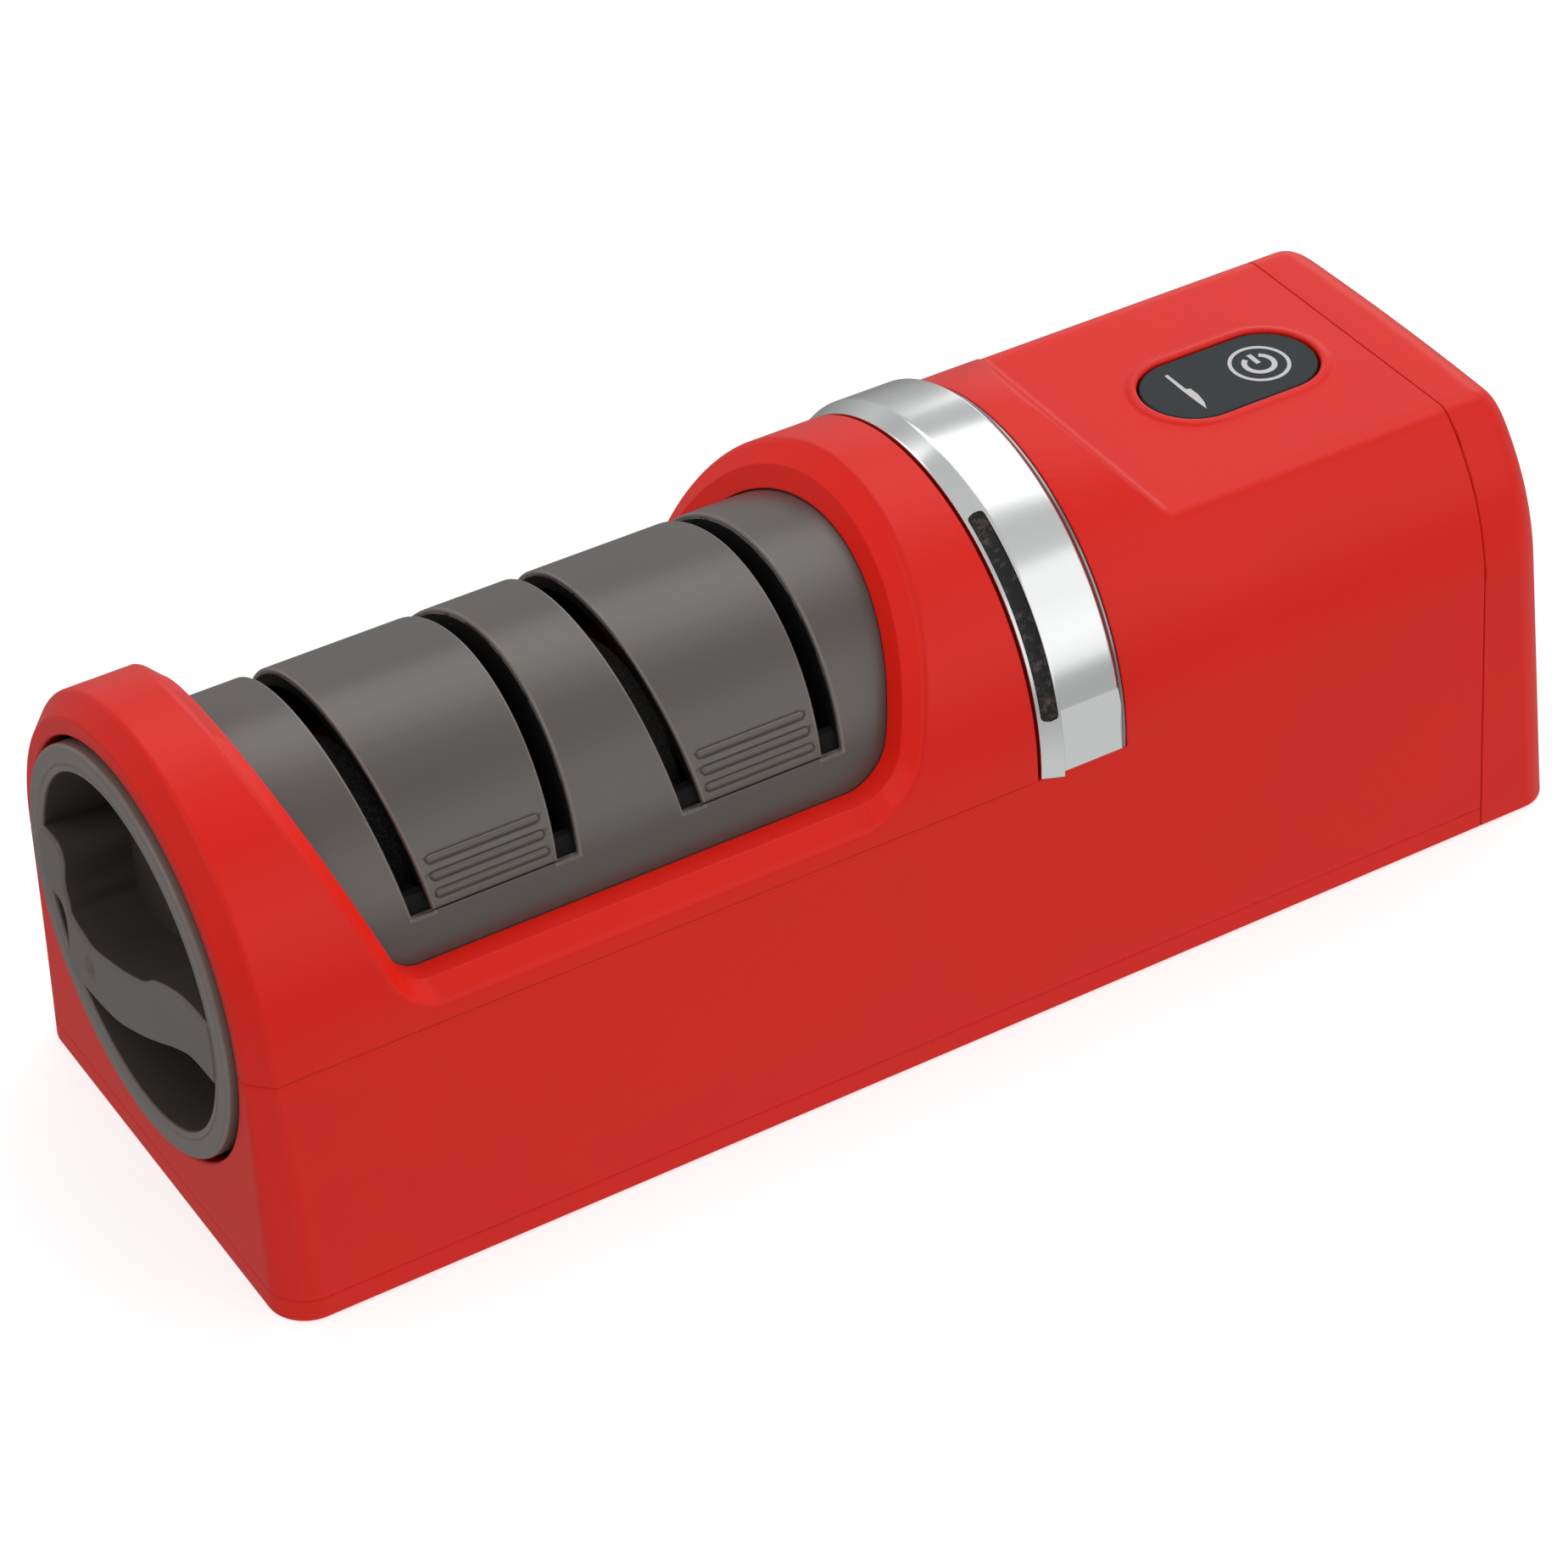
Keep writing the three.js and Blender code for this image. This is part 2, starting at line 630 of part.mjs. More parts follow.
function basePlate() {
  const plate = outerForm.intersect(
    box(span(-overrun, capSeam - halfGap), everyY, [body.footZ, split.plateTopZ - halfGap]),
  );
  const cradleZ = [split.plateTopZ - clearance, split.plateTopZ + cradle.rimRise];
  const cradleReach = cell.offsetY + cell.radius;
  const cradles = Array.from({ length: cradle.count }, (_, i) => {
    const share = (i + 1 / 2) / cradle.count;
    const x = cellStart + (cellEnd - cellStart) * share - cradle.width / 2;
    return box(span(x, x + cradle.width), [-cradleReach, cradleReach], cradleZ);
  });
  const cells = [-1, 1].map((side) =>
    disc(
      span(cellStart - overrun, cellEnd + overrun),
      cell.radius + clearance,
      side * cell.offsetY,
      cellZ,
    ),
  );
  const bosses = chassisScrewPlaces().map(([x, y]) =>
    post(x, y, [split.plateTopZ - clearance, chassis.floorZ - clearance], chassisScrew.bossRadius),
  );
  const holes = [
    ...chassisScrewPlaces().map(([x, y]) =>
      post(x, y, [chassis.floorZ - chassisScrew.length, chassis.floorZ + overrun], chassisScrew.radius + clearance),
    ),
    ...baseScrewPlaces().flatMap(([x, y]) => [
      post(x, y, [-overrun, split.plateTopZ + overrun], baseScrew.radius + clearance),
      post(x, y, [-overrun, body.footZ + baseScrew.head / 2 + clearance], baseScrew.headRadius + clearance),
    ]),
    ...footPlaces().map(([x, y]) => post(x, y, [-overrun, body.footZ + foot.recess], foot.radius + clearance)),
  ];
  return union([plate, ...cradles, ...bosses]).subtract(union(cells)).subtract(union(holes));
}

function endCap() {
  const region = box(span(capSeam + halfGap, length + overrun), everyY, [
    body.footZ,
    crownZ,
  ]);
  const hollow = bodyForm(body.wall, body.footZ + body.wall);
  const spigotOuter = bodyForm(body.wall + clearance, split.plateTopZ + clearance);
  const rootOuter = bodyForm(body.wall / 2, split.plateTopZ + clearance);
  const spigotInner = bodyForm(body.wall + clearance + capSpigot.wall, split.plateTopZ + capSpigot.wall);
  const spigotZ = [split.plateTopZ + clearance, crownZ];
  const spigot = spigotOuter
    .intersect(box(span(capSeam - capSpigot.length, capSeam + body.wall), everyY, spigotZ))
    .add(
      rootOuter.intersect(
        box(span(capSeam + halfGap, capSeam + body.wall), everyY, spigotZ),
      ),
    )
    .subtract(spigotInner);
  const port = box(span(capSeam + body.wall, length + overrun), inletY, inletZ);
  return outerForm.intersect(region).subtract(hollow).add(spigot).subtract(port);
}

add("main_housing", mainHousing(), redPlastic());
add("front_cover", frontCover(), redPlastic());
add("end_cap", endCap(), redPlastic());
add("base_plate", basePlate(), redPlastic());

// Chrome band: a strip round the crown with a raised, bevelled middle.
function chromeBand() {
  const front = fromEnd(zone.chamber + halfGap);
  const rear = fromEnd(bandEnd - halfGap);
  const inner = seatRadius + clearance;
  const stripRadius = inner + band.strip / 2;
  const topRadius = stripRadius + band.raise;
  const strip = ring([front, rear], [inner, stripRadius]).intersect(aboveZ(seamZ + halfGap));
  const raised = turned(
    [
      [front + band.edge, inner],
      [front + band.edge, stripRadius],
      [front + band.edge + band.bevel, topRadius],
      [rear - band.edge - band.bevel / 2, topRadius],
      [rear - band.edge, stripRadius],
      [rear - band.edge, inner],
    ],
    0,
    archZ,
  ).intersect(aboveZ(archZ + band.endRise));
  return strip.add(raised);
}
add("chrome_band", chromeBand(), chrome());

// Blade guide hood: a barrel shell with four leaning slots, guide walls beside them and ribbed grips.
const slots = [0, 1].flatMap((pair) =>
  [-1, 1].map((side) => ({
    x: fromEnd(pairPlaces[pair] + side * slot.offset),
    side,
  })),
);
// A slab that leans with a slot, between two offsets from the slot's middle plane.
function leaningSlab({ x, side }, offsets, z) {
  const at = (offset, height) => [
    x + side * (offset + slot.tiltShare * (height - slotRefZ)),
    height,
  ];
  const corners = [at(offsets[0], z[0]), at(offsets[1], z[0]), at(offsets[1], z[1]), at(offsets[0], z[1])];
  return prismY(side > 0 ? corners : corners.reverse(), everyY);
}

function guideHood() {
  const reach = span(0, zone.chamber);
  const innerRadius = hoodRadius - hood.wall;
  const outline = windowPrism(hood.tuck);
  const barrel = ring(reach, [innerRadius, hoodRadius]).intersect(outline);
  const core = disc(reach, innerRadius + clearance);
  const ends = outline
    .subtract(windowPrism(hood.tuck - body.wall / 2))
    .intersect(core)
    .intersect(aboveZ(archZ + hood.plateRise));
  const half = slot.width / 2;
  const topZ = crownZ;
  const guides = slots.map((each) =>
    leaningSlab(each, [half, half + slot.guideWall], [slotFloor - slot.guideDrop, topZ]).intersect(core),
  );
  const ledgeCore = disc(reach, hoodRadius - slot.ledgeDepth);
  const cuts = slots.map((each) =>
    leaningSlab(each, [-half, half], [slotFloor + slot.ledge, topZ]).add(
      leaningSlab(each, [-half, half], [slotFloor, topZ]).subtract(ledgeCore),
    ),
  );
  const bars = [0, 1].flatMap((pair) =>
    [-1, 1].flatMap((face) =>
      Array.from({ length: grip.bars }, (_, i) => {
        const angle = face * (grip.firstAngle + grip.pitchAngle * i);
        const radius = hoodRadius + grip.stand - grip.radius;
        const capsule = new THREE.CapsuleGeometry(grip.radius, grip.length - grip.radius * 2, 2, 8);
        capsule.rotateZ(Math.PI / 2);
        capsule.translate(
          fromEnd(pairPlaces[pair]),
          radius * Math.sin(angle),
          archZ + radius * Math.cos(angle),
        );
        return solid(capsule);
      }),
    ),
  );
  return union([barrel, ends, ...guides]).subtract(union(cuts)).add(union(bars));
}
add("guide_hood", guideHood(), greyPlastic());

// Turning knob: a cup in the end face whose ring stands a little proud, crossed by an S-shaped grip bar.
// The grip's edges are shares of the opening's radius, from the left rim to the right rim and back.
const gripTopShares = [
  [-1.06, 0.19],
  [-0.89, 0.208],
  [-0.784, 0.19],
  [-0.745, 0.104],
  [-0.775, -0.065],
  [-0.749, -0.16],
  [-0.727, -0.247],
  [-0.623, -0.281],
  [-0.476, -0.299],
  [-0.264, -0.242],
  [-0.048, -0.169],
  [0.173, -0.069],
  [0.32, 0.039],
  [0.537, 0.139],
  [0.753, 0.199],
  [1.06, 0.215],
];
const gripBottomShares = [
  [1.06, -0.169],
  [0.753, -0.186],
  [0.537, -0.273],
  [0.32, -0.39],
  [0.074, -0.515],
  [-0.2, -0.628],
  [-0.355, -0.662],
  [-0.511, -0.68],
  [-0.667, -0.684],
  [-0.78, -0.7],
  [-0.87, -0.6],
  [-0.818, -0.532],
  [-0.805, -0.407],
  [-0.805, -0.316],
  [-0.823, -0.251],
  [-0.861, -0.225],
  [-0.944, -0.216],
  [-1.06, -0.21],
];
const dimpleShares = [-0.53, -0.47];
const knobFloorX = knob.dish - knob.proud + knob.pocketDepth;
const knobBackX = knobFloorX + knob.floor;
function endKnob() {
  const face = -knob.proud;
  const inner = knob.dish - knob.proud;
  const cup = turned(
    [
      [knobFloorX, 0],
      [knobFloorX, openingRadius],
      [inner, openingRadius],
      [face, knobRadius - knob.edge],
      [face + knob.edge, knobRadius],
      [knobBackX, knobRadius],
      [knobBackX, knob.pivotRadius],
      [knobBackX + knob.pivotLength, knob.pivotRadius],
      [knobBackX + knob.pivotLength, 0],
    ].map(([x, radius]) => [fromEnd(x), radius]),
    0,
    knobZ,
  );
  const onFace = ([across, up]) => [-across * openingRadius, knobZ + up * openingRadius];
  const smooth = (shares) => {
    const curve = new THREE.SplineCurve(shares.map((share) => new THREE.Vector2(...onFace(share))));
    return curve.getPoints((shares.length - 1) * knob.curveSteps).map((point) => [point.x, point.y]);
  };
  const barFace = inner - knob.barRise;
  const bar = prismX(
    [...smooth(gripTopShares), ...smooth(gripBottomShares)],
    span(barFace, knobFloorX + knob.floor / 2),
  ).intersect(disc(span(barFace, knobBackX), openingRadius + knob.barRise, 0, knobZ));
  const [dimpleY, dimpleZ] = onFace(dimpleShares);
  const dimple = new THREE.SphereGeometry(knob.dimpleRadius, smallSegments, smallSegments / 2);
  dimple.translate(fromEnd(barFace - knob.dimpleRadius + knob.dimpleDepth), dimpleY, dimpleZ);
  return cup.add(bar).subtract(solid(dimple));
}
add("end_knob", endKnob(), greyPlastic());

function knobSocket() {
  const inner = knobRadius + knob.gap;
  const startX = body.wall + clearance;
  const floorX = knobBackX + clearance;
  return turned(
    [
      [fromEnd(startX), inner],
      [fromEnd(startX), inner + socket.wall],
      [fromEnd(floorX + socket.floor), inner + socket.wall],
      [fromEnd(floorX + socket.floor), knob.pivotRadius + clearance],
      [fromEnd(floorX), knob.pivotRadius + clearance],
      [fromEnd(floorX), inner],
    ],
    0,
    knobZ,
  ).intersect(bodyForm(body.wall + clearance, body.footZ + overrun / 2));
}
add("knob_socket", knobSocket(), darkPlastic());
const retainerX = knobBackX + clearance + socket.floor + retainer.standoff;
add(
  "knob_retainer",
  ring(
    span(retainerX, retainerX + retainer.thickness),
    [knob.pivotRadius + clearance, retainer.radius],
    knobZ,
    smallSegments,
  ),
  steel(),
);

// Chassis: a tray-like frame whose two webs carry the wheel shaft.
function chassisFrame() {
  const floor = box(span(chassis.startX, chassisEnd), [-chassisHalf, chassisHalf], [
    chassis.floorZ,
    chassis.floorZ + chassis.floor,
  ]);
  const topShares = [0, 0.25, 0.5, 0.75, 1];
  const webOutline = [
    [-chassis.webHalfWidth, chassis.floorZ],
    [chassis.webHalfWidth, chassis.floorZ],
    ...topShares.map((share) => {
      const angle = Math.PI * share;
      return [
        chassis.webTopRadius * Math.cos(angle),
        archZ + chassis.webTopRadius * Math.sin(angle),
      ];
    }),
  ];
  const webs = [frontWeb, rearWeb].map((x) =>
    prismX(webOutline, span(x, x + chassis.web)).subtract(
      disc(span(x - overrun, x + overrun), bearing.radius + clearance),
    ),
  );
  const ribs = [-1, 1].map((side) => {
    const y = side * (chassisHalf - chassis.ribWidth / 2);
    return box(
      span(chassis.startX, chassisEnd),
      [y - chassis.ribWidth / 2, y + chassis.ribWidth / 2],
      [chassis.floorZ, chassis.floorZ + chassis.floor + chassis.ribHeight],
    );
  });
  const holes = chassisScrewPlaces().map(([x, y]) =>
    post(x, y, [chassis.floorZ - overrun, chassis.floorZ + overrun], chassisScrew.radius + clearance),
  );
  return union([floor, ...webs, ...ribs]).subtract(union(holes));
}
add("chassis", chassisFrame(), darkPlastic());

// A cross-head screw with its head at z and its shank running along direction (1 up, -1 down).
function screw(x, y, headZ, sizes, direction) {
  const headSpan = [headZ, headZ - direction * sizes.head].sort((a, b) => a - b);
  const shankSpan = [headZ, headZ + direction * sizes.length].sort((a, b) => a - b);
  const crossDepth = sizes.head * screwCross.depthShare;
  const crossZ = [
    headZ - direction * (sizes.head + clearance),
    headZ - direction * crossDepth,
  ].sort((a, b) => a - b);
  const arm = sizes.headRadius * screwCross.armShare;
  const slit = sizes.headRadius * screwCross.slitShare;
  return post(x, y, headSpan, sizes.headRadius, screwSegments)
    .add(post(x, y, shankSpan, sizes.radius, screwSegments))
    .subtract(box([x - arm, x + arm], [y - slit, y + slit], crossZ))
    .subtract(box([x - slit, x + slit], [y - arm, y + arm], crossZ));
}
chassisScrewPlaces().forEach(([x, y], i) =>
  add(
    "chassis_screw_" + (i + 1),
    screw(x, y, chassis.floorZ + chassis.floor + clearance, {
      ...chassisScrew,
      length: chassisScrew.length + chassis.floor - clearance,
    }, -1),
    steel(),
  ),
);
baseScrewPlaces().forEach(([x, y], i) =>
  add(
    "base_screw_" + (i + 1),
    screw(x, y, body.footZ + baseScrew.head / 2, { ...baseScrew, head: baseScrew.head / 2 }, 1),
    steel(),
  ),
);
footPlaces().forEach(([x, y], i) =>
  add("rubber_foot_" + (i + 1), post(x, y, [0, body.footZ + foot.recess - clearance], foot.radius), rubber()),
);

function filingsTray() {
  const x = [chassis.startX + tray.frontMargin, chassisEnd - tray.rearMargin];
  const reach = chassisHalf - tray.sideMargin;
  const z = [chassis.floorZ + chassis.floor + clearance, chassis.floorZ + chassis.floor + tray.height];
  const inset = tray.wall;
  return box(span(...x), [-reach, reach], z).subtract(
    box(
      span(x[0] + inset, x[1] - inset),
      [-reach + inset, reach - inset],
      [z[0] + inset, z[1] + overrun],
    ),
  );
}
add("filings_tray", filingsTray(), steel());

// Wheel shaft line: bearings, shaft, two pairs of bevelled grinding wheels and their hubs.
[
  ["front_bearing", frontWeb, 1],
  ["rear_bearing", rearWeb, -1],
].forEach(([name, webX, side]) => {
  const inside = fromEnd(side > 0 ? webX + chassis.web : webX) + side * clearance;
  const outside = inside - side * (chassis.web + clearance);
  const bore = shaft.radius + clearance;
  add(
    name,
    turned(
      [
        [outside, bore],
        [outside, bearing.radius],
        [inside, bearing.radius],
        [inside, bearing.flangeRadius],
        [inside + side * bearing.flange, bearing.flangeRadius],
        [inside + side * bearing.flange, bore],
      ],
      0,
      archZ,
      smallSegments,
    ),
    steel(),
  );
});
function driveShaft() {
  const rod = disc(span(shaft.startX, shaftEnd), shaft.radius, 0, archZ, smallSegments);
  const clipXs = [
    frontWeb + chassis.web + bearing.flange + clearance * 2,
    rearWeb - bearing.flange - clearance * 2 - shaft.clip,
  ];
  return union([
    rod,
    ...clipXs.map((x) => disc(span(x, x + shaft.clip), shaft.clipRadius, 0, archZ, smallSegments)),
  ]);
}
add("drive_shaft", driveShaft(), steel());

const contactRadius = slotRefZ - archZ;
const faceOffset = slot.offset - slot.width / 2 + wheel.bite;
const grit = [() => material(0x6d6a63, 0.9), () => material(0xcfc8ba, 0.75)];
["coarse", "fine"].forEach((grade, pair) => {
  const centre = fromEnd(pairPlaces[pair]);
  [-1, 1].forEach((side) => {
    const faceX = (radius) => centre + side * (faceOffset + slot.tiltShare * (radius - contactRadius));
    const backX = centre + side * (faceOffset - wheel.thickness);
    const bore = shaft.radius + clearance;
    const rimStart = wheel.radius - wheel.rimWidth;
    add(
      grade + "_wheel_" + (side < 0 ? "left" : "right"),
      turned(
        [
          [backX, bore],
          [faceX(bore) - side * wheel.rimRelief, bore],
          [faceX(rimStart) - side * wheel.rimRelief, rimStart],
          [faceX(rimStart), rimStart],
          [faceX(wheel.radius), wheel.radius],
          [backX, wheel.radius],
        ],
        0,
        archZ,
        wheelSegments,
      ),
      grit[pair](),
    );
  });
  const hubHalf = faceOffset - wheel.thickness - clearance;
  add(
    grade + "_hub",
    ring(
      [centre - hubHalf, centre + hubHalf],
      [shaft.radius + clearance, wheel.bossRadius],
      archZ,
      smallSegments,
    ),
    darkPlastic(),
  );
});

// Drive: the motor hangs on a bracket behind the shaft and turns it through a coupling.
function shaftCoupling() {
  const start = zone.chamber - coupling.overlap;
  const middle = shaftEnd + clearance;
  const end = start + coupling.length;
  return turned(
    [
      [fromEnd(start), shaft.radius + clearance],
      [fromEnd(start), coupling.radius],
      [fromEnd(end), coupling.radius],
      [fromEnd(end), motor.shaftRadius + clearance],
      [fromEnd(middle), motor.shaftRadius + clearance],
      [fromEnd(middle), shaft.radius + clearance],
    ],
    0,
    archZ,
    smallSegments,
  );
}
add("shaft_coupling", shaftCoupling(), steel());
add(
  "motor_shaft",
  disc(
    span(shaftEnd + clearance * 2, motorStart - motor.bossLength - clearance),
    motor.shaftRadius,
    0,
    archZ,
    smallSegments,
  ),
  steel(),
);
function motorBody() {
  const start = motorStart;
  const bellX = start + motor.length - motor.endBell;
  const can = turned(
    [
      [fromEnd(start - motor.bossLength), 0],
      [fromEnd(start - motor.bossLength), motor.bossRadius],
      [fromEnd(start), motor.bossRadius],
      [fromEnd(start), motor.radius],
      [fromEnd(bellX), motor.radius],
      [fromEnd(bellX), motor.radius - motor.flatDepth],
      [fromEnd(start + motor.length), motor.radius - motor.flatDepth],
      [fromEnd(start + motor.length), motor.bossRadius],
      [fromEnd(start + motor.length + motor.bossLength), motor.bossRadius],
      [fromEnd(start + motor.length + motor.bossLength), 0],
    ],
    0,
    archZ,
    wheelSegments,
  );
  const terminals = [-1, 1].map((side) => {
    const y = side * motor.terminalOffset;
    return box(
      span(start + motor.length - overrun / 2, start + motor.length + motor.terminalLength),
      [y - motor.shaftRadius, y + motor.shaftRadius],
      [archZ, archZ + motor.flatDepth],
    );
  });
  return union([can, ...terminals]);
}
add("motor", motorBody(), steel());

function motorScrewPlaces() {
  return [-1, 1].map((side) => side * motorScrew.spread);
}
function motorBracket() {
  const arcShares = [0, 0.125, 0.25, 0.375, 0.5, 0.625, 0.75, 0.875, 1];
  const footZ = split.plateTopZ + clearance;
  const legY = halfWidth - bracket.sideMargin;
  const legTop = archZ - bracket.archDrop;
  const outline = [
    [-legY, footZ],
    [-legY + bracket.legWidth, footZ],
    [-legY + bracket.legWidth, legTop],
    [legY - bracket.legWidth, legTop],
    [legY - bracket.legWidth, footZ],
    [legY, footZ],
    [legY, legTop + bracket.legWidth],
    ...arcShares.map((share) => [
      bracket.topRadius * Math.cos(Math.PI * share),
      archZ + bracket.topRadius * Math.sin(Math.PI * share),
    ]),
    [-legY, legTop + bracket.legWidth],
  ];
  const x = span(bracketX, bracketX + bracket.thickness);
  const through = span(bracketX - overrun, bracketX + overrun);
  return prismX(outline, x)
    .subtract(disc(through, motor.bossRadius + clearance))
    .subtract(
      union(
        motorScrewPlaces().map((y) => disc(through, motorScrew.radius + clearance, y, archZ, smallSegments)),
      ),
    );
}
add("motor_bracket", motorBracket(), steel());
motorScrewPlaces().forEach((y, i) =>
  add(
    "motor_screw_" + (i + 1),
    turned(
      [
        [fromEnd(bracketX - clearance - motorScrew.head), 0],
        [fromEnd(bracketX - clearance - motorScrew.head), motorScrew.headRadius],
        [fromEnd(bracketX - clearance), motorScrew.headRadius],
        [fromEnd(bracketX - clearance), motorScrew.radius],
        [fromEnd(motorStart - clearance), motorScrew.radius],
        [fromEnd(motorStart - clearance), 0],
      ],
      y,
      archZ,
      smallSegments,
    ),
    steel(),
  ),
);

[-1, 1].forEach((side, i) =>
  add(
    "battery_cell_" + (i + 1),
    turned(
      [
        [fromEnd(cellStart), 0],
        [fromEnd(cellStart), cell.radius],
        [fromEnd(cellEnd - cell.cap), cell.radius],
        [fromEnd(cellEnd - cell.cap), cell.capRadius],
        [fromEnd(cellEnd), cell.capRadius],
        [fromEnd(cellEnd), 0],
      ],
      side * cell.offsetY,
      cellZ,
      wheelSegments,
    ),
    material(0x2f6fb5, 0.4),
  ),
);

// Power button, its switch and board, and the charging inlet in the rear cap.
function powerButton() {
  const underside = deckZ - body.wall;
  const flangeTop = underside - clearance;
  const cap = prismZ(obround(0), [flangeTop - button.flange / 2, deckZ + button.proud]);
  const flange = prismZ(obround(button.flangeWidth), [flangeTop - button.flange, flangeTop]);
  const stemZ = boardTop + tactSwitch.height + tactSwitch.plunger + button.travel + faceGap;
  const stem = post(fromEnd(switchX), 0, [stemZ, flangeTop], button.stemRadius);
  return union([cap, flange, stem]);
}
add("power_button", powerButton(), material(0x3c4244, 0.45));
function controlBoard() {
  return box(
    span(boardStart, boardEnd),
    [-board.halfWidth, board.halfWidth],
    [boardTop - board.thickness, boardTop],
  );
}
add("control_board", controlBoard(), material(0x1f5a38, 0.5));
function tactSwitchBody() {
  const half = tactSwitch.side / 2;
  const x = switchX;
  const z = boardTop + faceGap;
  return box(span(x - half, x + half), [-half, half], [z, boardTop + tactSwitch.height]).add(
    post(
      fromEnd(x),
      0,
      [z, boardTop + tactSwitch.height + tactSwitch.plunger],
      tactSwitch.plungerRadius,
      smallSegments,
    ),
  );
}
add("tact_switch", tactSwitchBody(), darkPlastic());

function chargingInlet() {
  const rearX = length - rearDip(0, inlet.z) - body.wall / 2;
  const x = [rearX - inlet.length, rearX];
  const y = inlet.width / 2;
  const z = [inlet.z - inlet.height / 2, inlet.z + inlet.height / 2];
  const tongueZ = [inlet.z - inlet.tongue / 2, inlet.z + inlet.tongue / 2];
  return box(span(...x), [-y, y], z)
    .subtract(
      box(
        span(x[0] + inlet.shell * 2, x[1] + overrun),
        [-y + inlet.shell, y - inlet.shell],
        [z[0] + inlet.shell, z[1] - inlet.shell],
      ),
    )
    .add(box(span(x[0] + inlet.shell, x[1] - inlet.shell), [-y + inlet.shell * 3, y - inlet.shell * 3], tongueZ));
}
add("charging_inlet", chargingInlet(), steel());

export default sharpener;
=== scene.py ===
import math

import bmesh
import bpy
from bpy.props import FloatProperty, FloatVectorProperty, PointerProperty
from mathutils import Matrix, Vector


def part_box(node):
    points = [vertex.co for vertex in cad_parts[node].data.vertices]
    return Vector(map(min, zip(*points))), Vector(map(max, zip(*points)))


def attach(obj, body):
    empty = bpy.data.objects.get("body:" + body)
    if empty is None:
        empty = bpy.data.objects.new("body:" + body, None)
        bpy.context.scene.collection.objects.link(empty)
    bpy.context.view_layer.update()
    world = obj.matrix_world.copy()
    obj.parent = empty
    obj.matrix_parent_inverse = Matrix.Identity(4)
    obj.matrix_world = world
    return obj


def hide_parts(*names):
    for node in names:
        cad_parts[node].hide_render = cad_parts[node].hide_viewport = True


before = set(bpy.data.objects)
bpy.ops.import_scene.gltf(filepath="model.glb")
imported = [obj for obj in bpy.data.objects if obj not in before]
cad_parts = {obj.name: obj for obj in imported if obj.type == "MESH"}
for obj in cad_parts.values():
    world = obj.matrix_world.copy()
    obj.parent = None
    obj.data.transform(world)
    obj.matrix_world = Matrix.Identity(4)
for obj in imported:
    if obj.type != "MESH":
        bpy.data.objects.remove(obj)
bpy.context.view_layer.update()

bl_info = {
    "name": "Knife sharpener dresser",
    "version": (1, 0, 0),
    "blender": (4, 5, 0),
    "location": "View3D > Sidebar > Sharpener",
    "description": "Builds the finely shaped, finished pieces of a cordless knife sharpener on its packed frame",
    "category": "Object",
}

# The body's main sizes, in millimetres, as the frame has them. Places along the body start at the knob end face.
ARCH_Z = 36.29
ARCH_R = 32.11
DRAFT = 0.077
DRAFT_LENGTH = math.hypot(1, DRAFT)
TANGENT_ANGLE = math.pi / 2 - math.atan(DRAFT)
HALF_WIDTH = ARCH_R * DRAFT_LENGTH + DRAFT * ARCH_Z
CROWN_Z = ARCH_Z + ARCH_R
DECK_Z = ARCH_Z + 23.95
SEAM_Z = ARCH_Z - 0.29
PLATE_TOP_Z = 3.4
FOOT_Z = 0.3
FOOT_CHAMFER = 0.25
CHAMBER = 110
BAND_END = CHAMBER + 13.1
CAP_SEAM = BAND_END + 56.7
LENGTH = CAP_SEAM + 13.7
END_CHAMFER = 2.65
REAR_FILLET = 5
DECK_EDGE = 3.2
BROW_EDGE = 0.8
HALF_GAP = 0.15
SEAM_HALF = 0.03
STEP_BROW = BAND_END + 5.9
STEP_FOOT = BAND_END + 13.2
FAR = 6
HOOD_R = ARCH_R - 5.9
WINDOW_HALF = (CHAMBER - 18.9 - 16.5) / 2
WINDOW_MIDDLE = 18.9 + WINDOW_HALF
WINDOW_FLOOR = ARCH_Z + 4.21
WINDOW_SLANT = 0.36
WINDOW_CORNERS = {-1: 3, 1: 5}
SLOT_FLOOR = ARCH_Z + 9.51
SLOT_REF_Z = ARCH_Z + 13.71
SLOT_HALF = 1.4
SLOT_TILT = 0.115
PAIRS = [WINDOW_MIDDLE - 0.38 + side * WINDOW_HALF / 2 for side in (-1, 1)]
SLOTS = [(pair + side * 10.4, side) for pair in PAIRS for side in (-1, 1)]
BAR_ANGLE = 0.965
BAR_ANGLE_STEP = 0.081
KNOB_Z = ARCH_Z - 0.44
KNOB_R = ARCH_R - 5.41
KNOB_OPENING = KNOB_R - 3.6
KNOB_PROUD = 1.1
BUTTON_X = CAP_SEAM - 18.9
BUTTON_R = 6.9
BUTTON_SPAN = 11.8
BAND_SEAT = ARCH_R - 1.7
MM = 0.001
# Steps of a full turn on the large round pieces, and the share of a rim's half that its lower corner takes.
FINE_TURN = 240
RIM_CORNER = 0.13


def rear_dip(y, z):
    """How far the rear face lies inside the body's length at this place: it leans in and bows back at its sides."""
    return 0.06 * z + 1.2 * (y / HALF_WIDTH) ** 2


# The rearmost point of the body, at its heel, and the middle of the part between it and the knob's face.
HEEL_Z = FOOT_Z + FOOT_CHAMFER
HEEL_Y = HALF_WIDTH - REAR_FILLET * DRAFT_LENGTH - DRAFT * HEEL_Z
MIDDLE = (LENGTH - rear_dip(HEEL_Y, HEEL_Z) - KNOB_PROUD) / 2


def along(place):
    """X of a place that is measured from the knob end face."""
    return place - MIDDLE


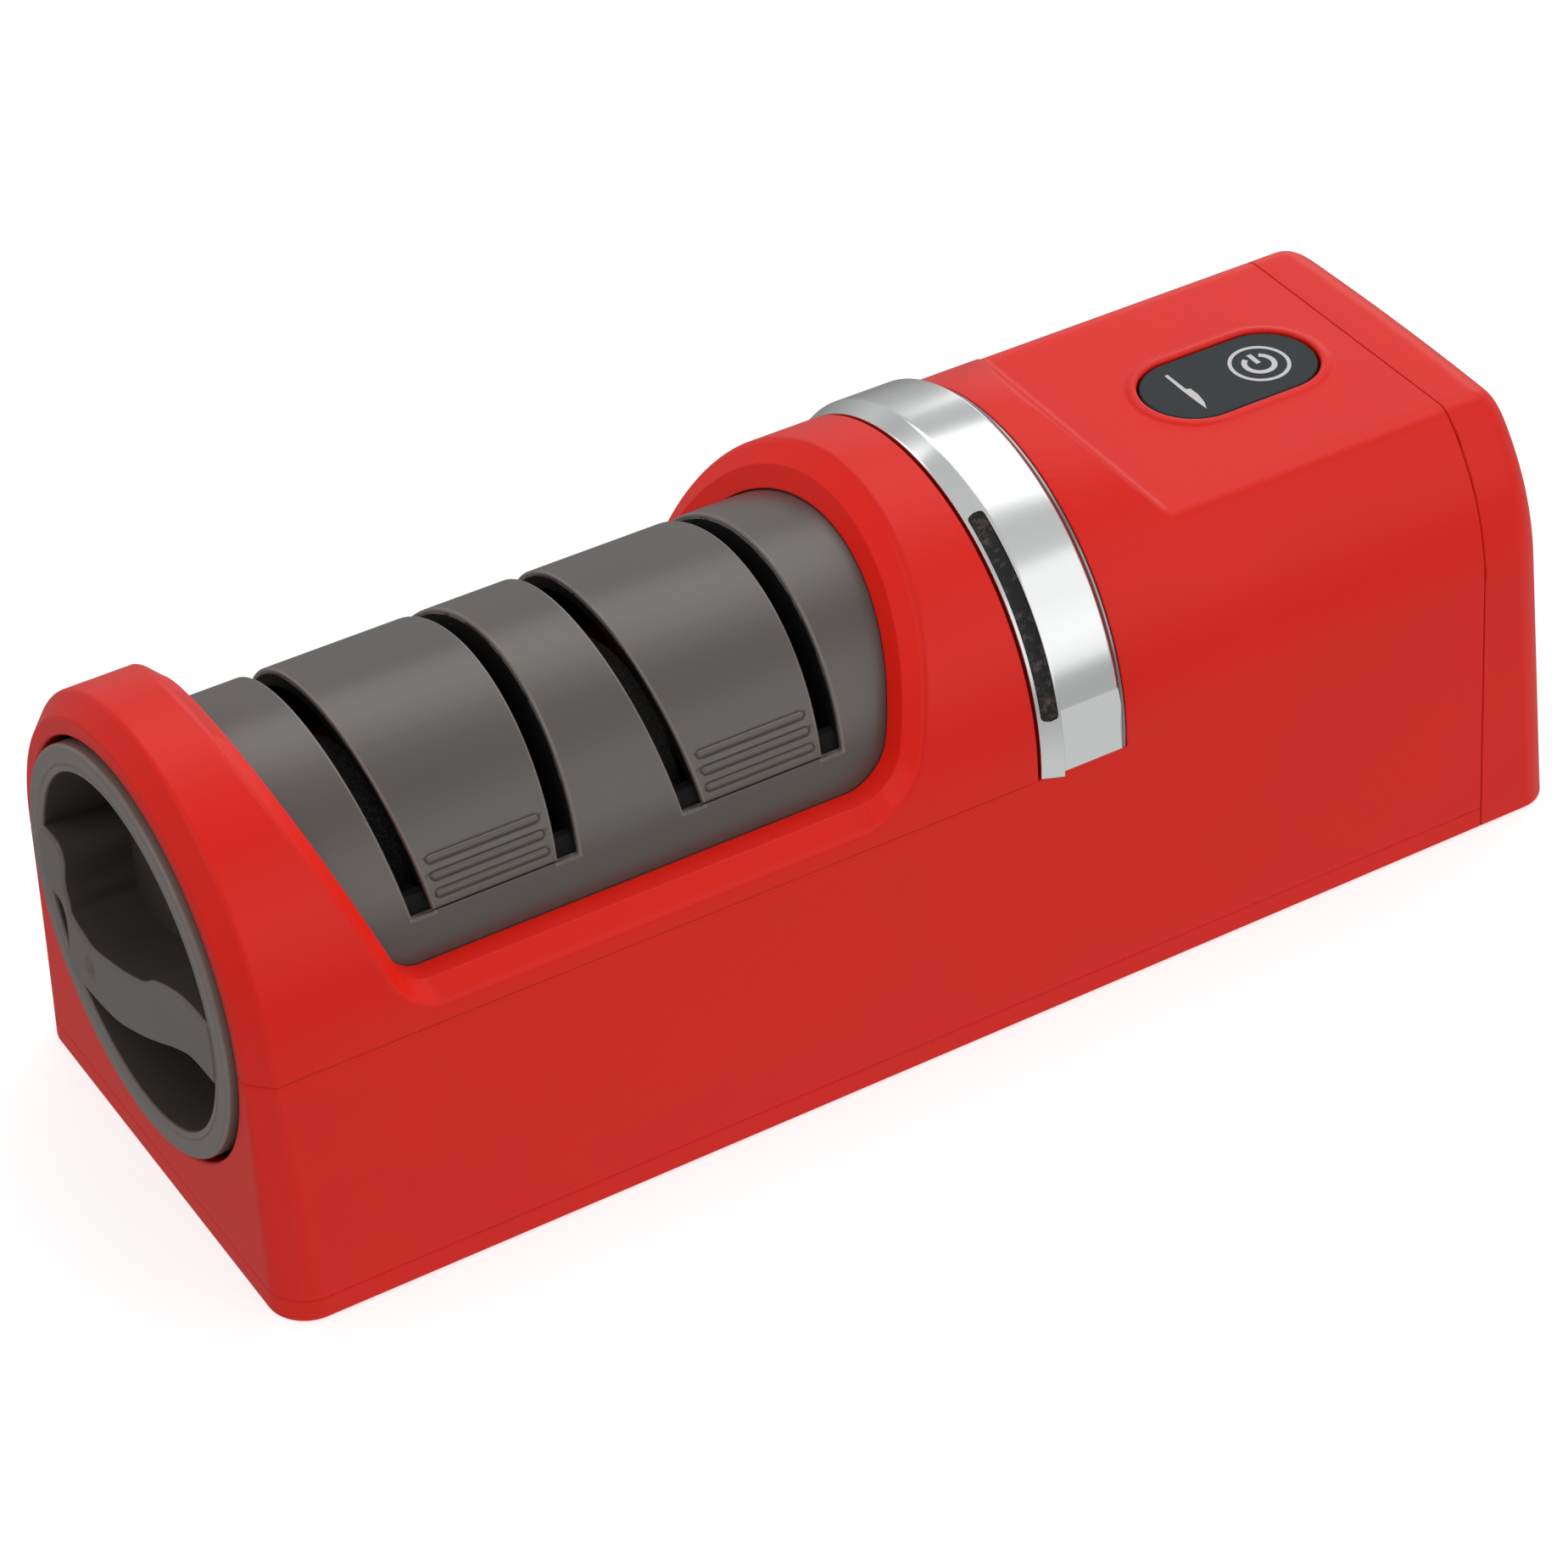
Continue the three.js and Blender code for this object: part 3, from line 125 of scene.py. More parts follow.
# Ranges wider than the body across it and along it, for cutting blocks.
WIDE = (-60, 60)
EVERY = (along(-20), along(LENGTH + 20))


def spread(first, last, count):
    """Evenly spaced numbers, both ends included, in this many steps."""
    return [first + (last - first) * i / count for i in range(count + 1)]


def mm(length):
    """A property's metres as millimetres."""
    return length / MM


def from_arch(spot):
    """Distance of a spot from the arch's axis."""
    return math.hypot(spot.y, spot.z - ARCH_Z)


# Sizes and colours that a user may change.
class CasingSettings(bpy.types.PropertyGroup):
    skin: FloatProperty(
        name="Skin", description="Thickness of the finely shaped outer skin", default=0.00238, unit="LENGTH",
    )
    corner_round: FloatProperty(
        name="Corner rounding", description="How softly the end chamfer's edges turn, as a share of the chamfer",
        default=0.18, min=0.1, max=0.48,
    )
    rim_depth: FloatProperty(
        name="Rim depth", description="Depth of the sloping rim round the guide window",
        default=0.0025, unit="LENGTH",
    )
    rim_round: FloatProperty(
        name="Rim rounding", description="Radius with which the rim turns into the casing",
        default=0.0017, unit="LENGTH",
    )
    seam_edge: FloatProperty(
        name="Seam edge", description="Size of the rounded edges along the seams",
        default=0.00022, unit="LENGTH",
    )
    lip_width: FloatProperty(
        name="Lip width", description="Width of the raised lip round the button", default=0.0018, unit="LENGTH",
    )
    lip_height: FloatProperty(
        name="Lip height", description="Height of the raised lip over the deck", default=0.00045, unit="LENGTH",
    )


class GuideSettings(bpy.types.PropertyGroup):
    slot_lip: FloatProperty(
        name="Slot lip", description="Width of the bright rounded edge along each slot",
        default=0.00036, unit="LENGTH",
    )
    bar_length: FloatProperty(
        name="Grip bar length", description="Length of each raised grip bar", default=0.0155, unit="LENGTH",
    )
    bar_radius: FloatProperty(
        name="Grip bar radius", description="Radius of a grip bar", default=0.00055, unit="LENGTH",
    )
    moat_depth: FloatProperty(
        name="Grip bar groove", description="Depth of the fine groove round each grip bar",
        default=0.00036, unit="LENGTH",
    )


class BandSettings(bpy.types.PropertyGroup):
    front_bevel: FloatProperty(
        name="Front bevel", description="Width of the bevel at the knob side", default=0.0024, unit="LENGTH",
    )
    rear_bevel: FloatProperty(
        name="Rear bevel", description="Width of the bevel at the deck side", default=0.0009, unit="LENGTH",
    )
    raise_height: FloatProperty(
        name="Raise", description="Height of the pad over its strip", default=0.002, unit="LENGTH",
    )
    end_rise: FloatProperty(
        name="Pad end", description="Height of the pad's lower ends over the arch's centre",
        default=0.00911, unit="LENGTH",
    )


class KnobSettings(bpy.types.PropertyGroup):
    edge: FloatProperty(
        name="Ring edge", description="Rounding of the ring's outer edge", default=0.0006, unit="LENGTH",
    )
    bar_edge: FloatProperty(
        name="Bar edge", description="Rounding of the grip bar's edges", default=0.0007, unit="LENGTH",
    )
    pocket_depth: FloatProperty(
        name="Pocket depth", description="Depth of the two finger pockets", default=0.0093, unit="LENGTH",
    )


class ButtonSettings(bpy.types.PropertyGroup):
    edge: FloatProperty(
        name="Edge", description="Rounding of the button's top edge", default=0.0003, unit="LENGTH",
    )
    proud: FloatProperty(
        name="Proud", description="Height of the button over the deck", default=0.00015, unit="LENGTH",
    )
    mark_height: FloatProperty(
        name="Mark height", description="Thickness of the printed marks", default=0.00005, unit="LENGTH",
    )


class ColourSettings(bpy.types.PropertyGroup):
    casing: FloatVectorProperty(
        name="Casing", description="Colour of the moulded casing", subtype="COLOR",
        default=(0.77, 0.012, 0.004),
    )
    guide: FloatVectorProperty(
        name="Guide and knob", description="Colour of the guide hood and the knob", subtype="COLOR",
        default=(0.068, 0.057, 0.050),
    )
    chrome: FloatVectorProperty(
        name="Chrome", description="Colour of the plated band", subtype="COLOR", default=(0.71, 0.72, 0.72),
    )
    button: FloatVectorProperty(
        name="Button", description="Colour of the power button", subtype="COLOR", default=(0.029, 0.035, 0.039),
    )
    marks: FloatVectorProperty(
        name="Marks", description="Colour of the printed marks", subtype="COLOR", default=(0.62, 0.60, 0.60),
    )


class StageSettings(bpy.types.PropertyGroup):
    lens: FloatProperty(
        name="Lens", description="Focal length of the camera", default=116.63, subtype="DISTANCE_CAMERA",
    )
    top_light: FloatProperty(
        name="Top light", description="Power of the soft light behind and above", default=2.0, unit="POWER",
    )
    front_light: FloatProperty(
        name="Front light", description="Power of the low soft light in front", default=1.5, unit="POWER",
    )
    left_light: FloatProperty(
        name="Left light", description="Power of the soft light over the knob end", default=0.6, unit="POWER",
    )
    rim_light: FloatProperty(
        name="Rim light", description="Power of the low soft light behind", default=0.45, unit="POWER",
    )
    world: FloatProperty(name="Surround", description="Brightness of the pale surround", default=0.9)
    floor_size: FloatProperty(
        name="Floor", description="Half width of the pale floor", default=3.0, unit="LENGTH",
    )


GROUPS = {
    "sharpener_casing": CasingSettings,
    "sharpener_guide": GuideSettings,
    "sharpener_band": BandSettings,
    "sharpener_knob": KnobSettings,
    "sharpener_button": ButtonSettings,
    "sharpener_colours": ColourSettings,
    "sharpener_stage": StageSettings,
}


# Modelling helpers. They work in millimetres, and settle() brings a piece to metres.
def draw_ring(bm, points):
    """A closed ring of edges through these points."""
    verts = bmesh.ops.create_circle(bm, cap_ends=False, segments=len(points), radius=1)["verts"]
    for vert, point in zip(verts, points):
        vert.co = point
    return verts


def extrude_ring(bm, ring, points):
    """Extrudes the ring's edges and puts the new ring on these points."""
    edges = [bm.edges.get((a, b)) for a, b in zip(ring, ring[1:] + ring[:1])]
    made = bmesh.ops.extrude_edge_only(bm, edges=edges)["geom"]
    fresh = {item for item in made if isinstance(item, bmesh.types.BMVert)}
    following = []
    for vert in ring:
        following.append(next(e.other_vert(vert) for e in vert.link_edges if e.other_vert(vert) in fresh))
    for vert, point in zip(following, points):
        vert.co = point
    return following


def fill_ring(bm, ring):
    """One flat face inside a ring."""
    edges = [bm.edges.get((a, b)) for a, b in zip(ring, ring[1:] + ring[:1])]
    return bmesh.ops.edgeloop_fill(bm, edges=edges)["faces"]


def loft(rings):
    """A closed body through rings that hold the same number of points."""
    bm = bmesh.new()
    first = draw_ring(bm, rings[0])
    last = first
    for points in rings[1:]:
        last = extrude_ring(bm, last, points)
    for ring in (first, last):
        fill_ring(bm, ring)
    bmesh.ops.recalc_face_normals(bm, faces=bm.faces)
    return bm


def turned(profile, centre_z, segments=160):
    """A closed body turned about an axis along X. The profile holds (place, radius) pairs."""
    bm = bmesh.new()
    verts = draw_ring(bm, [Vector((along(place), 0, radius)) for place, radius in profile])
    edges = [bm.edges.get((a, b)) for a, b in zip(verts, verts[1:] + verts[:1])]
    bmesh.ops.spin(
        bm, geom=verts + edges, cent=Vector((0, 0, 0)), axis=Vector((1, 0, 0)),
        angle=math.tau, steps=segments, use_merge=True, use_duplicate=False,
    )
    bmesh.ops.remove_doubles(bm, verts=bm.verts, dist=1e-4)
    bmesh.ops.dissolve_degenerate(bm, edges=bm.edges, dist=1e-4)
    bmesh.ops.recalc_face_normals(bm, faces=bm.faces)
    bmesh.ops.translate(bm, verts=bm.verts, vec=Vector((0, 0, centre_z)))
    return bm


def tube(places, radii, centre_z, segments):
    """A turned tube, or a rod where the inner radius is zero."""
    (first, last), (inner, outer) = places, radii
    return turned([(first, inner), (first, outer), (last, outer), (last, inner)], centre_z, segments)


def block(x, y, z):
    """A box between two numbers along each axis."""
    bm = bmesh.new()
    bmesh.ops.create_cube(bm, size=1)
    bmesh.ops.scale(bm, verts=bm.verts, vec=Vector((x[1] - x[0], y[1] - y[0], z[1] - z[0])))
    bmesh.ops.translate(bm, verts=bm.verts, vec=Vector((sum(x) / 2, sum(y) / 2, sum(z) / 2)))
    return bm


def prism(points, axis, depth):
    """An outline pushed through along an axis. The outline's pairs are the other two axes."""
    place = {
        "Y": lambda a, b, t: Vector((a, t, b)),
        "Z": lambda a, b, t: Vector((a, b, t)),
        "X": lambda a, b, t: Vector((t, a, b)),
    }[axis]
    return loft([[place(a, b, t) for a, b in points] for t in depth])


def workpiece(bm, name):
    """Puts a bmesh into the scene as an object, still in millimetres."""
    mesh = bpy.data.meshes.new(name)
    bm.to_mesh(mesh)
    bm.free()
    piece = bpy.data.objects.new(name, mesh)
    bpy.context.scene.collection.objects.link(piece)
    return piece


def frame_copy(node, name):
    """A merged copy of a frame node's mesh, in millimetres."""
    bm = bmesh.new()
    bm.from_mesh(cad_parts[node].data)
    bmesh.ops.scale(bm, verts=bm.verts, vec=Vector((1 / MM,) * 3))
    bmesh.ops.remove_doubles(bm, verts=bm.verts, dist=1e-3)
    bmesh.ops.dissolve_degenerate(bm, edges=bm.edges, dist=1e-3)
    return workpiece(bm, name)


def carve(piece, tool, operation="DIFFERENCE", keep=False):
    """Cuts, joins or trims a piece with another body, which is then thrown away unless it is kept."""
    modifier = piece.modifiers.new(operation.lower(), "BOOLEAN")
    modifier.operation = operation
    modifier.solver = "MANIFOLD"
    modifier.object = tool
    graph = bpy.context.evaluated_depsgraph_get()
    made = bpy.data.meshes.new_from_object(piece.evaluated_get(graph))
    if not made.polygons:
        raise RuntimeError(f"{operation.lower()} of {piece.name} with {tool.name} left nothing")
    piece.modifiers.clear()
    old = piece.data
    piece.data = made
    bpy.data.meshes.remove(old)
    if not keep:
        discard(tool)
    return piece


def discard(tool):
    """Throws a piece and its mesh away."""
    mesh = tool.data
    bpy.data.objects.remove(tool)
    bpy.data.meshes.remove(mesh)


def on_plane(axis, value, near=2e-3):
    """A test for spots that lie at this value along an axis."""
    return lambda co: abs(co[axis] - value) < near


def round_edges(bm, edges, width, segments, clamp=True):
    """Rounds these edges of a bmesh."""
    bmesh.ops.bevel(
        bm, geom=edges, offset=width, offset_type="OFFSET", segments=segments, profile=0.5, affect="EDGES",
        material=-1, clamp_overlap=clamp,
    )


def soften(piece, chosen, width, segments=2, least_turn=40):
    """Rounds the piece's edges whose two ends both pass a test and where the faces turn by enough."""
    bm = bmesh.new()
    bm.from_mesh(piece.data)
    edges = [
        edge for edge in bm.edges
        if len(edge.link_faces) == 2
        and all(chosen(vert.co) for vert in edge.verts)
        and math.degrees(edge.calc_face_angle(0)) > least_turn
    ]
    round_edges(bm, edges, width, segments)
    bm.to_mesh(piece.data)
    bm.free()


def settle(piece, name, finish, body, nodes=(), turn=32):
    """Brings a finished piece to metres, shades it, gives it its finish, puts it under its body, and hides the frame
    nodes it stands for.
    """
    piece.name = name
    piece.data.name = name
    piece.data.transform(Matrix.Scale(MM, 4))
    piece.data.shade_smooth()
    piece.data.set_sharp_from_angle(angle=math.radians(turn))
    weighted = piece.modifiers.new("weighted_normals", "WEIGHTED_NORMAL")
    weighted.mode = "FACE_AREA"
    weighted.weight = 90
    weighted.keep_sharp = True
    piece.data.materials.clear()
    piece.data.materials.append(finish)
    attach(piece, body)
    if nodes:
        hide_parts(*nodes)


def dress(piece, finish, chosen):
    """Gives another finish to the faces that pass a test on their middle, in millimetres, and their normal."""
    piece.data.materials.append(finish.material)
    for face in piece.data.polygons:
        if chosen(face.center / MM, face.normal):
            face.material_index = len(piece.data.materials) - 1


# Shader helpers.
class Term:
    """A value socket of a node tree that can be used in sums and products."""

    def __init__(self, tree, socket):
        self.tree = tree
        self.socket = socket

    def _math(self, operation, first, second):
        node = self.tree.nodes.new("ShaderNodeMath")
        node.operation = operation
        for socket, value in zip(node.inputs, (first, second)):
            feed(self.tree, socket, value)
        return Term(self.tree, node.outputs[0])

    def __add__(self, other):
        return self._math("ADD", self, other)

    __radd__ = __add__

    def __sub__(self, other):
        return self._math("SUBTRACT", self, other)

    def __rsub__(self, other):
        return self._math("SUBTRACT", other, self)

    def __mul__(self, other):
        return self._math("MULTIPLY", self, other)

    __rmul__ = __mul__

    def clamped(self):
        term = self._math("ADD", self, 0.0)
        term.socket.node.use_clamp = True
        return term


def feed(tree, socket, value):
    """Links a term to a socket, or sets the socket to a plain value."""
    if isinstance(value, Term):
        tree.links.new(value.socket, socket)
    else:
        socket.default_value = value


class Finish:
    """A procedural material on the Principled shader."""

    def __init__(self, name, colour, roughness, metallic=0.0, coat=0.0, specular=0.5):
        self.material = bpy.data.materials.new(name)
        self.material.use_nodes = True
        self.tree = self.material.node_tree
        self.tree.nodes.clear()
        self.output = self.tree.nodes.new("ShaderNodeOutputMaterial")
        self.shader = self.tree.nodes.new("ShaderNodeBsdfPrincipled")
        self.tree.links.new(self.shader.outputs[0], self.output.inputs["Surface"])
        self.set("Base Color", (*colour, 1))
        self.set("Roughness", roughness)
        self.set("Metallic", metallic)
        self.set("Coat Weight", coat)
        self.set("Specular IOR Level", specular)
        self.material.diffuse_color = (*colour, 1)

    def set(self, socket, value):
        feed(self.tree, self.shader.inputs[socket], value)
        return self

    def node(self, kind, output=0, settings=(), **inputs):
        """A node of this type, its settings first and then its sockets. Underscores stand for spaces."""
        node = self.tree.nodes.new(kind)
        for key, value in dict(settings).items():
            if key == "stops":
                ramp = node.color_ramp
                for element, (place, colour) in zip(
                    [ramp.elements[0], ramp.elements[1], *[ramp.elements.new(0.5) for _ in value[2:]]], value
                ):
                    element.position = place
                    element.color = (*colour, 1)
            else:
                setattr(node, key, value)
        for key, value in inputs.items():
            feed(self.tree, node.inputs[key.replace("_", " ")], value)
        return Term(self.tree, node.outputs[output])

    def place(self, stretch=(1, 1, 1)):
        """Object coordinates, stretched for a pattern."""
        coordinates = self.node("ShaderNodeTexCoord", "Object")
        return self.node("ShaderNodeMapping", Vector=coordinates, Scale=stretch)

    def grain(self, per_metre, detail=2.0, rough=0.5, stretch=(1, 1, 1)):
        """Fine moulded or cast grain as a number from 0 to 1."""
        return self.node(
            "ShaderNodeTexNoise", "Fac", Vector=self.place(stretch), Scale=per_metre, Detail=detail, Roughness=rough,
        )

    def cells(self, per_metre, stretch=(1, 1, 1)):
        """Small grit cells as a distance from each cell's middle."""
        return self.node("ShaderNodeTexVoronoi", "Distance", Vector=self.place(stretch), Scale=per_metre)

    def blend(self, share, first, second):
        """A colour between two, by a share."""
        node = self.tree.nodes.new("ShaderNodeMix")
        node.data_type = "RGBA"
        feed(self.tree, node.inputs[0], share)
        feed(self.tree, node.inputs[6], (*first, 1))
        feed(self.tree, node.inputs[7], (*second, 1))
        return Term(self.tree, node.outputs[2])

    def vary(self, share, colour, darkest, lightest):
        """Lets the base colour run between two tones of a colour, by a share."""
        return self.set("Base Color", self.blend(share, tone(colour, darkest), tone(colour, lightest)))

    def relief(self, height, distance, strength=1.0, edge=0.0):
        """Bump from a height, over rounded edges where a radius is given."""
        inputs = {"Height": height, "Distance": distance, "Strength": strength}
        if edge:
            inputs["Normal"] = self.node("ShaderNodeBevel", settings={"samples": 4}, Radius=edge)
        self.set("Normal", self.node("ShaderNodeBump", **inputs))
        return self


def tone(colour, factor):
    """A colour made lighter or darker."""
    return tuple(min(1, channel * factor) for channel in colour)


def chosen_colour(name, shade=1.0):
    """A colour from the panel's settings."""
    return tone(getattr(bpy.context.scene.sharpener_colours, name), shade)


def casing_finish(name="moulded_red", shade=1.0):
    """Glossy moulded plastic with a slight cloudiness and a fine mould grain."""
    colour = chosen_colour("casing", shade)
    finish = Finish(name, colour, 0.36, specular=0.24)
    cloud = finish.grain(38, 3)
    finish.vary(cloud, colour, 0.94, 1.05)
    fine = finish.grain(2600, 2)
    finish.set("Roughness", 0.30 + 0.10 * fine + 0.03 * cloud)
    return finish.relief(fine, 0.000012, 0.35, 0.0003)


def guide_finish(name="satin_taupe", shade=1.0, roughness=0.28, specular=0.85):
    """Satin plastic of the blade guide and the knob."""
    colour = chosen_colour("guide", shade)
    finish = Finish(name, colour, roughness, specular=specular)
    cloud = finish.grain(45, 3)
    finish.vary(cloud, colour, 0.92, 1.08)
    fine = finish.grain(3000, 2)
    finish.set("Roughness", roughness + 0.10 * fine)
    return finish.relief(fine, 0.00001, 0.3, 0.00018)


def chrome_finish(name="bright_chrome", shade=1.0):
    """Plated plastic, a little hazy and wavy as plating on a moulding is."""
    colour = chosen_colour("chrome", shade)
    finish = Finish(name, colour, 0.15, 1.0)
    haze = finish.grain(60, 2)
    finish.set("Roughness", 0.15 + 0.08 * haze)
    return finish.relief(finish.grain(160, 2), 0.00002, 0.25, 0.00015)


def inlay_finish():
    """Dark leathery inlay with a few brownish specks."""
    finish = Finish("band_inlay", (0.012, 0.012, 0.012), 0.5, specular=0.3)
    specks = finish.grain(650, 3, 0.7)
    stops = [(0.5, (0.010, 0.010, 0.010)), (0.72, (0.11, 0.085, 0.075))]
    finish.set("Base Color", finish.node("ShaderNodeValToRGB", settings={"stops": stops}, Fac=specks))
    finish.set("Roughness", 0.4 + 0.3 * specks)
    return finish.relief(specks, 0.0001, 0.6)


def button_finish():
    colour = chosen_colour("button")
    finish = Finish("button_grey", colour, 0.45, specular=0.12)
    fine = finish.grain(3200, 2)
    finish.vary(fine, colour, 0.88, 1.12)
    finish.set("Roughness", 0.40 + 0.12 * fine)
    return finish.relief(fine, 0.00001, 0.4, 0.00012)


def mark_finish():
    colour = chosen_colour("marks")
    finish = Finish("printed_grey", colour, 0.5)
    fine = finish.grain(4000, 2)
    finish.vary(fine, colour, 0.9, 1.06)
    finish.set("Roughness", 0.45 + 0.1 * fine)
    return finish.relief(fine, 0.000005, 0.3)


def plastic_finish(name, colour, roughness=0.5, specular=0.5):
    finish = Finish(name, colour, roughness, specular=specular)
    fine = finish.grain(2400, 3)
    finish.vary(finish.grain(60, 2), colour, 0.85, 1.15)
    finish.set("Roughness", roughness - 0.06 + 0.12 * fine)
    return finish.relief(fine, 0.000015, 0.4, 0.0002)


def steel_finish(name, colour, roughness, stretch):
    """Turned, drawn or rolled steel with fine lines across the stretch."""
    finish = Finish(name, colour, roughness, 1.0)
    lines = finish.grain(900, 3, stretch=stretch)
    finish.set("Roughness", roughness - 0.06 + 0.14 * lines)
    finish.vary(finish.grain(90, 3), colour, 0.9, 1.05)
    return finish.relief(lines, 0.000008, 0.4, 0.00015)


def rubber_finish():
    finish = Finish("foot_rubber", (0.012, 0.012, 0.013), 0.8)
    fine = finish.grain(1800, 4)
    finish.set("Base Color", finish.blend(fine, (0.009, 0.009, 0.010), (0.022, 0.022, 0.024)))
    finish.set("Roughness", 0.72 + 0.2 * fine)
    return finish.relief(fine, 0.00004, 0.5, 0.0003)


def grit_finish(name, binder, grit, per_metre):
    """Bonded abrasive: bright grit cells in a binder."""
    finish = Finish(name, binder, 0.7)
    cells = finish.cells(per_metre)
    stops = [(0.0, grit), (0.45, binder)]
    finish.set("Base Color", finish.node("ShaderNodeValToRGB", settings={"stops": stops}, Fac=cells))
    finish.set("Roughness", 0.55 + 0.4 * cells)
    return finish.relief(1 - cells, 0.0001, 0.8)


def sleeve_finish():
    finish = Finish("cell_sleeve", (0.02, 0.12, 0.35), 0.3, coat=0.3)
    cloud = finish.grain(120, 3)
    finish.set("Base Color", finish.blend(cloud, (0.015, 0.10, 0.30), (0.03, 0.15, 0.42)))
    finish.set("Roughness", 0.24 + 0.12 * cloud)
    return finish.relief(finish.grain(300, 2), 0.00003, 0.3, 0.0003)


def board_finish():
    finish = Finish("board_green", (0.012, 0.09, 0.035), 0.4)
    weave = finish.grain(1500, 1, stretch=(1, 0.2, 1)) * finish.grain(1500, 1, stretch=(0.2, 1, 1))
    finish.set("Base Color", finish.blend(weave, (0.010, 0.07, 0.028), (0.03, 0.16, 0.06)))
    finish.set("Roughness", 0.34 + 0.2 * weave)
    return finish.relief(weave, 0.00002, 0.4, 0.0001)


# The red casing.
def crown_reach(angle, inset, top_z, edge):
    """Distance from the arch's centre to the outline at this angle, where the arch may be cut off flat at top_z."""
    radius = ARCH_R - inset
    if top_z is None:
        return radius
    top = top_z - inset - ARCH_Z
    if top >= radius:
        return radius
    edge = max(edge - inset, 0.3)
    centre_z = top - edge
    centre_y = math.sqrt(max((radius - edge) ** 2 - centre_z ** 2, 0))
    turn = abs(angle)
    if turn >= math.atan2(centre_y, centre_z):
        return radius
    if turn <= math.atan2(centre_y, top):
        return top / math.cos(turn)
    ahead = centre_y * math.sin(turn) + centre_z * math.cos(turn)
    return ahead + math.sqrt(max(edge ** 2 - (centre_y ** 2 + centre_z ** 2 - ahead ** 2), 0))


def section(inset, foot_z, top_z=None, edge=DECK_EDGE, crown_steps=150, side_steps=11):
    """(y, z) pairs of the body's outline from the front foot over the crown to the rear foot."""
    tangent_z = ARCH_Z + (ARCH_R - inset) * DRAFT / DRAFT_LENGTH
    heel = foot_z + FOOT_CHAMFER
    side = [(HALF_WIDTH - inset * DRAFT_LENGTH - DRAFT * foot_z - FOOT_CHAMFER, foot_z)]
    for z in spread(heel, tangent_z, side_steps)[:-1]:
        side.append((HALF_WIDTH - inset * DRAFT_LENGTH - DRAFT * z, z))
    crown = []
    for angle in spread(-TANGENT_ANGLE, TANGENT_ANGLE, crown_steps):
        reach = crown_reach(angle, inset, top_z, edge)
        crown.append((reach * math.sin(angle), ARCH_Z + reach * math.cos(angle)))
    return [(-y, z) for y, z in side] + crown + side[::-1]


def rounded_corner(before, corner, after, cut, count=6):
    """Points of a soft turn at a corner, from the line that comes in to the line that leaves."""
    before, corner, after = Vector(before), Vector(corner), Vector(after)
    start = corner + (before - corner).normalized() * cut
    end = corner + (after - corner).normalized() * cut
    return [
        start * (1 - t) ** 2 + corner * 2 * t * (1 - t) + end * t ** 2
        for t in spread(0, 1, count)
    ]


def front_rings(inset, foot_z, soft):
    """Rings round the knob end's edge: a softened chamfer round the arch that turns into a round corner below."""
    face_half = ARCH_R - END_CHAMFER - inset * (math.sqrt(2) - 1)
    face, inner, outer, flank = (0, 2), (0, 1), (1, 0), (3, 0)
    chamfer = rounded_corner(face, inner, outer, soft * 0.7) + rounded_corner(inner, outer, flank, soft)
    plain = section(inset, foot_z)
    rings = []
    for i, (forward, out) in enumerate(chamfer):
        turn = math.pi / 2 * i / (len(chamfer) - 1)
        ring = []
        for y, z in plain:
            low = min(1, max(0, 1 - z / ARCH_Z))
            reach = math.hypot(y, max(0, z - ARCH_Z))
            depth = max(reach - face_half, 0)
            ahead = forward * (1 - low) + (1 - math.cos(turn)) * low
            inward = out * (1 - low) + (1 - math.sin(turn)) * low
            scale = 1 - depth * inward / reach
            ring.append(Vector((
                along(inset + ahead * depth),
                y * scale,
                ARCH_Z + (z - ARCH_Z) * scale if z > ARCH_Z else z,
            )))
        rings.append(ring)
    return rings


def lid_height(place):
    """Height of the sloping lid behind the band, which falls from the crown to the deck."""
    slope = (CROWN_Z - DECK_Z) / (STEP_FOOT - STEP_BROW)
    cut = 0.6
    top_turn = (STEP_BROW - 0.7, CROWN_Z), (STEP_BROW, CROWN_Z), (STEP_BROW + cut, CROWN_Z - cut * slope)
    foot_turn = (STEP_FOOT - cut, DECK_Z + cut * slope), (STEP_FOOT, DECK_Z), (STEP_FOOT + 0.9, DECK_Z)
    for turn in (top_turn, foot_turn):
        start, middle, end = (Vector(point) for point in turn)
        if start.x <= place <= end.x:
            bend, run, ahead = start.x - 2 * middle.x + end.x, 2 * (middle.x - start.x), place - start.x
            t = (math.sqrt(run ** 2 + 4 * bend * ahead) - run) / (2 * bend)
            return (start * (1 - t) ** 2 + middle * 2 * t * (1 - t) + end * t ** 2).y
    if place < STEP_BROW:
        return CROWN_Z
    if place > STEP_FOOT:
        return DECK_Z
    return CROWN_Z - slope * (place - STEP_BROW)


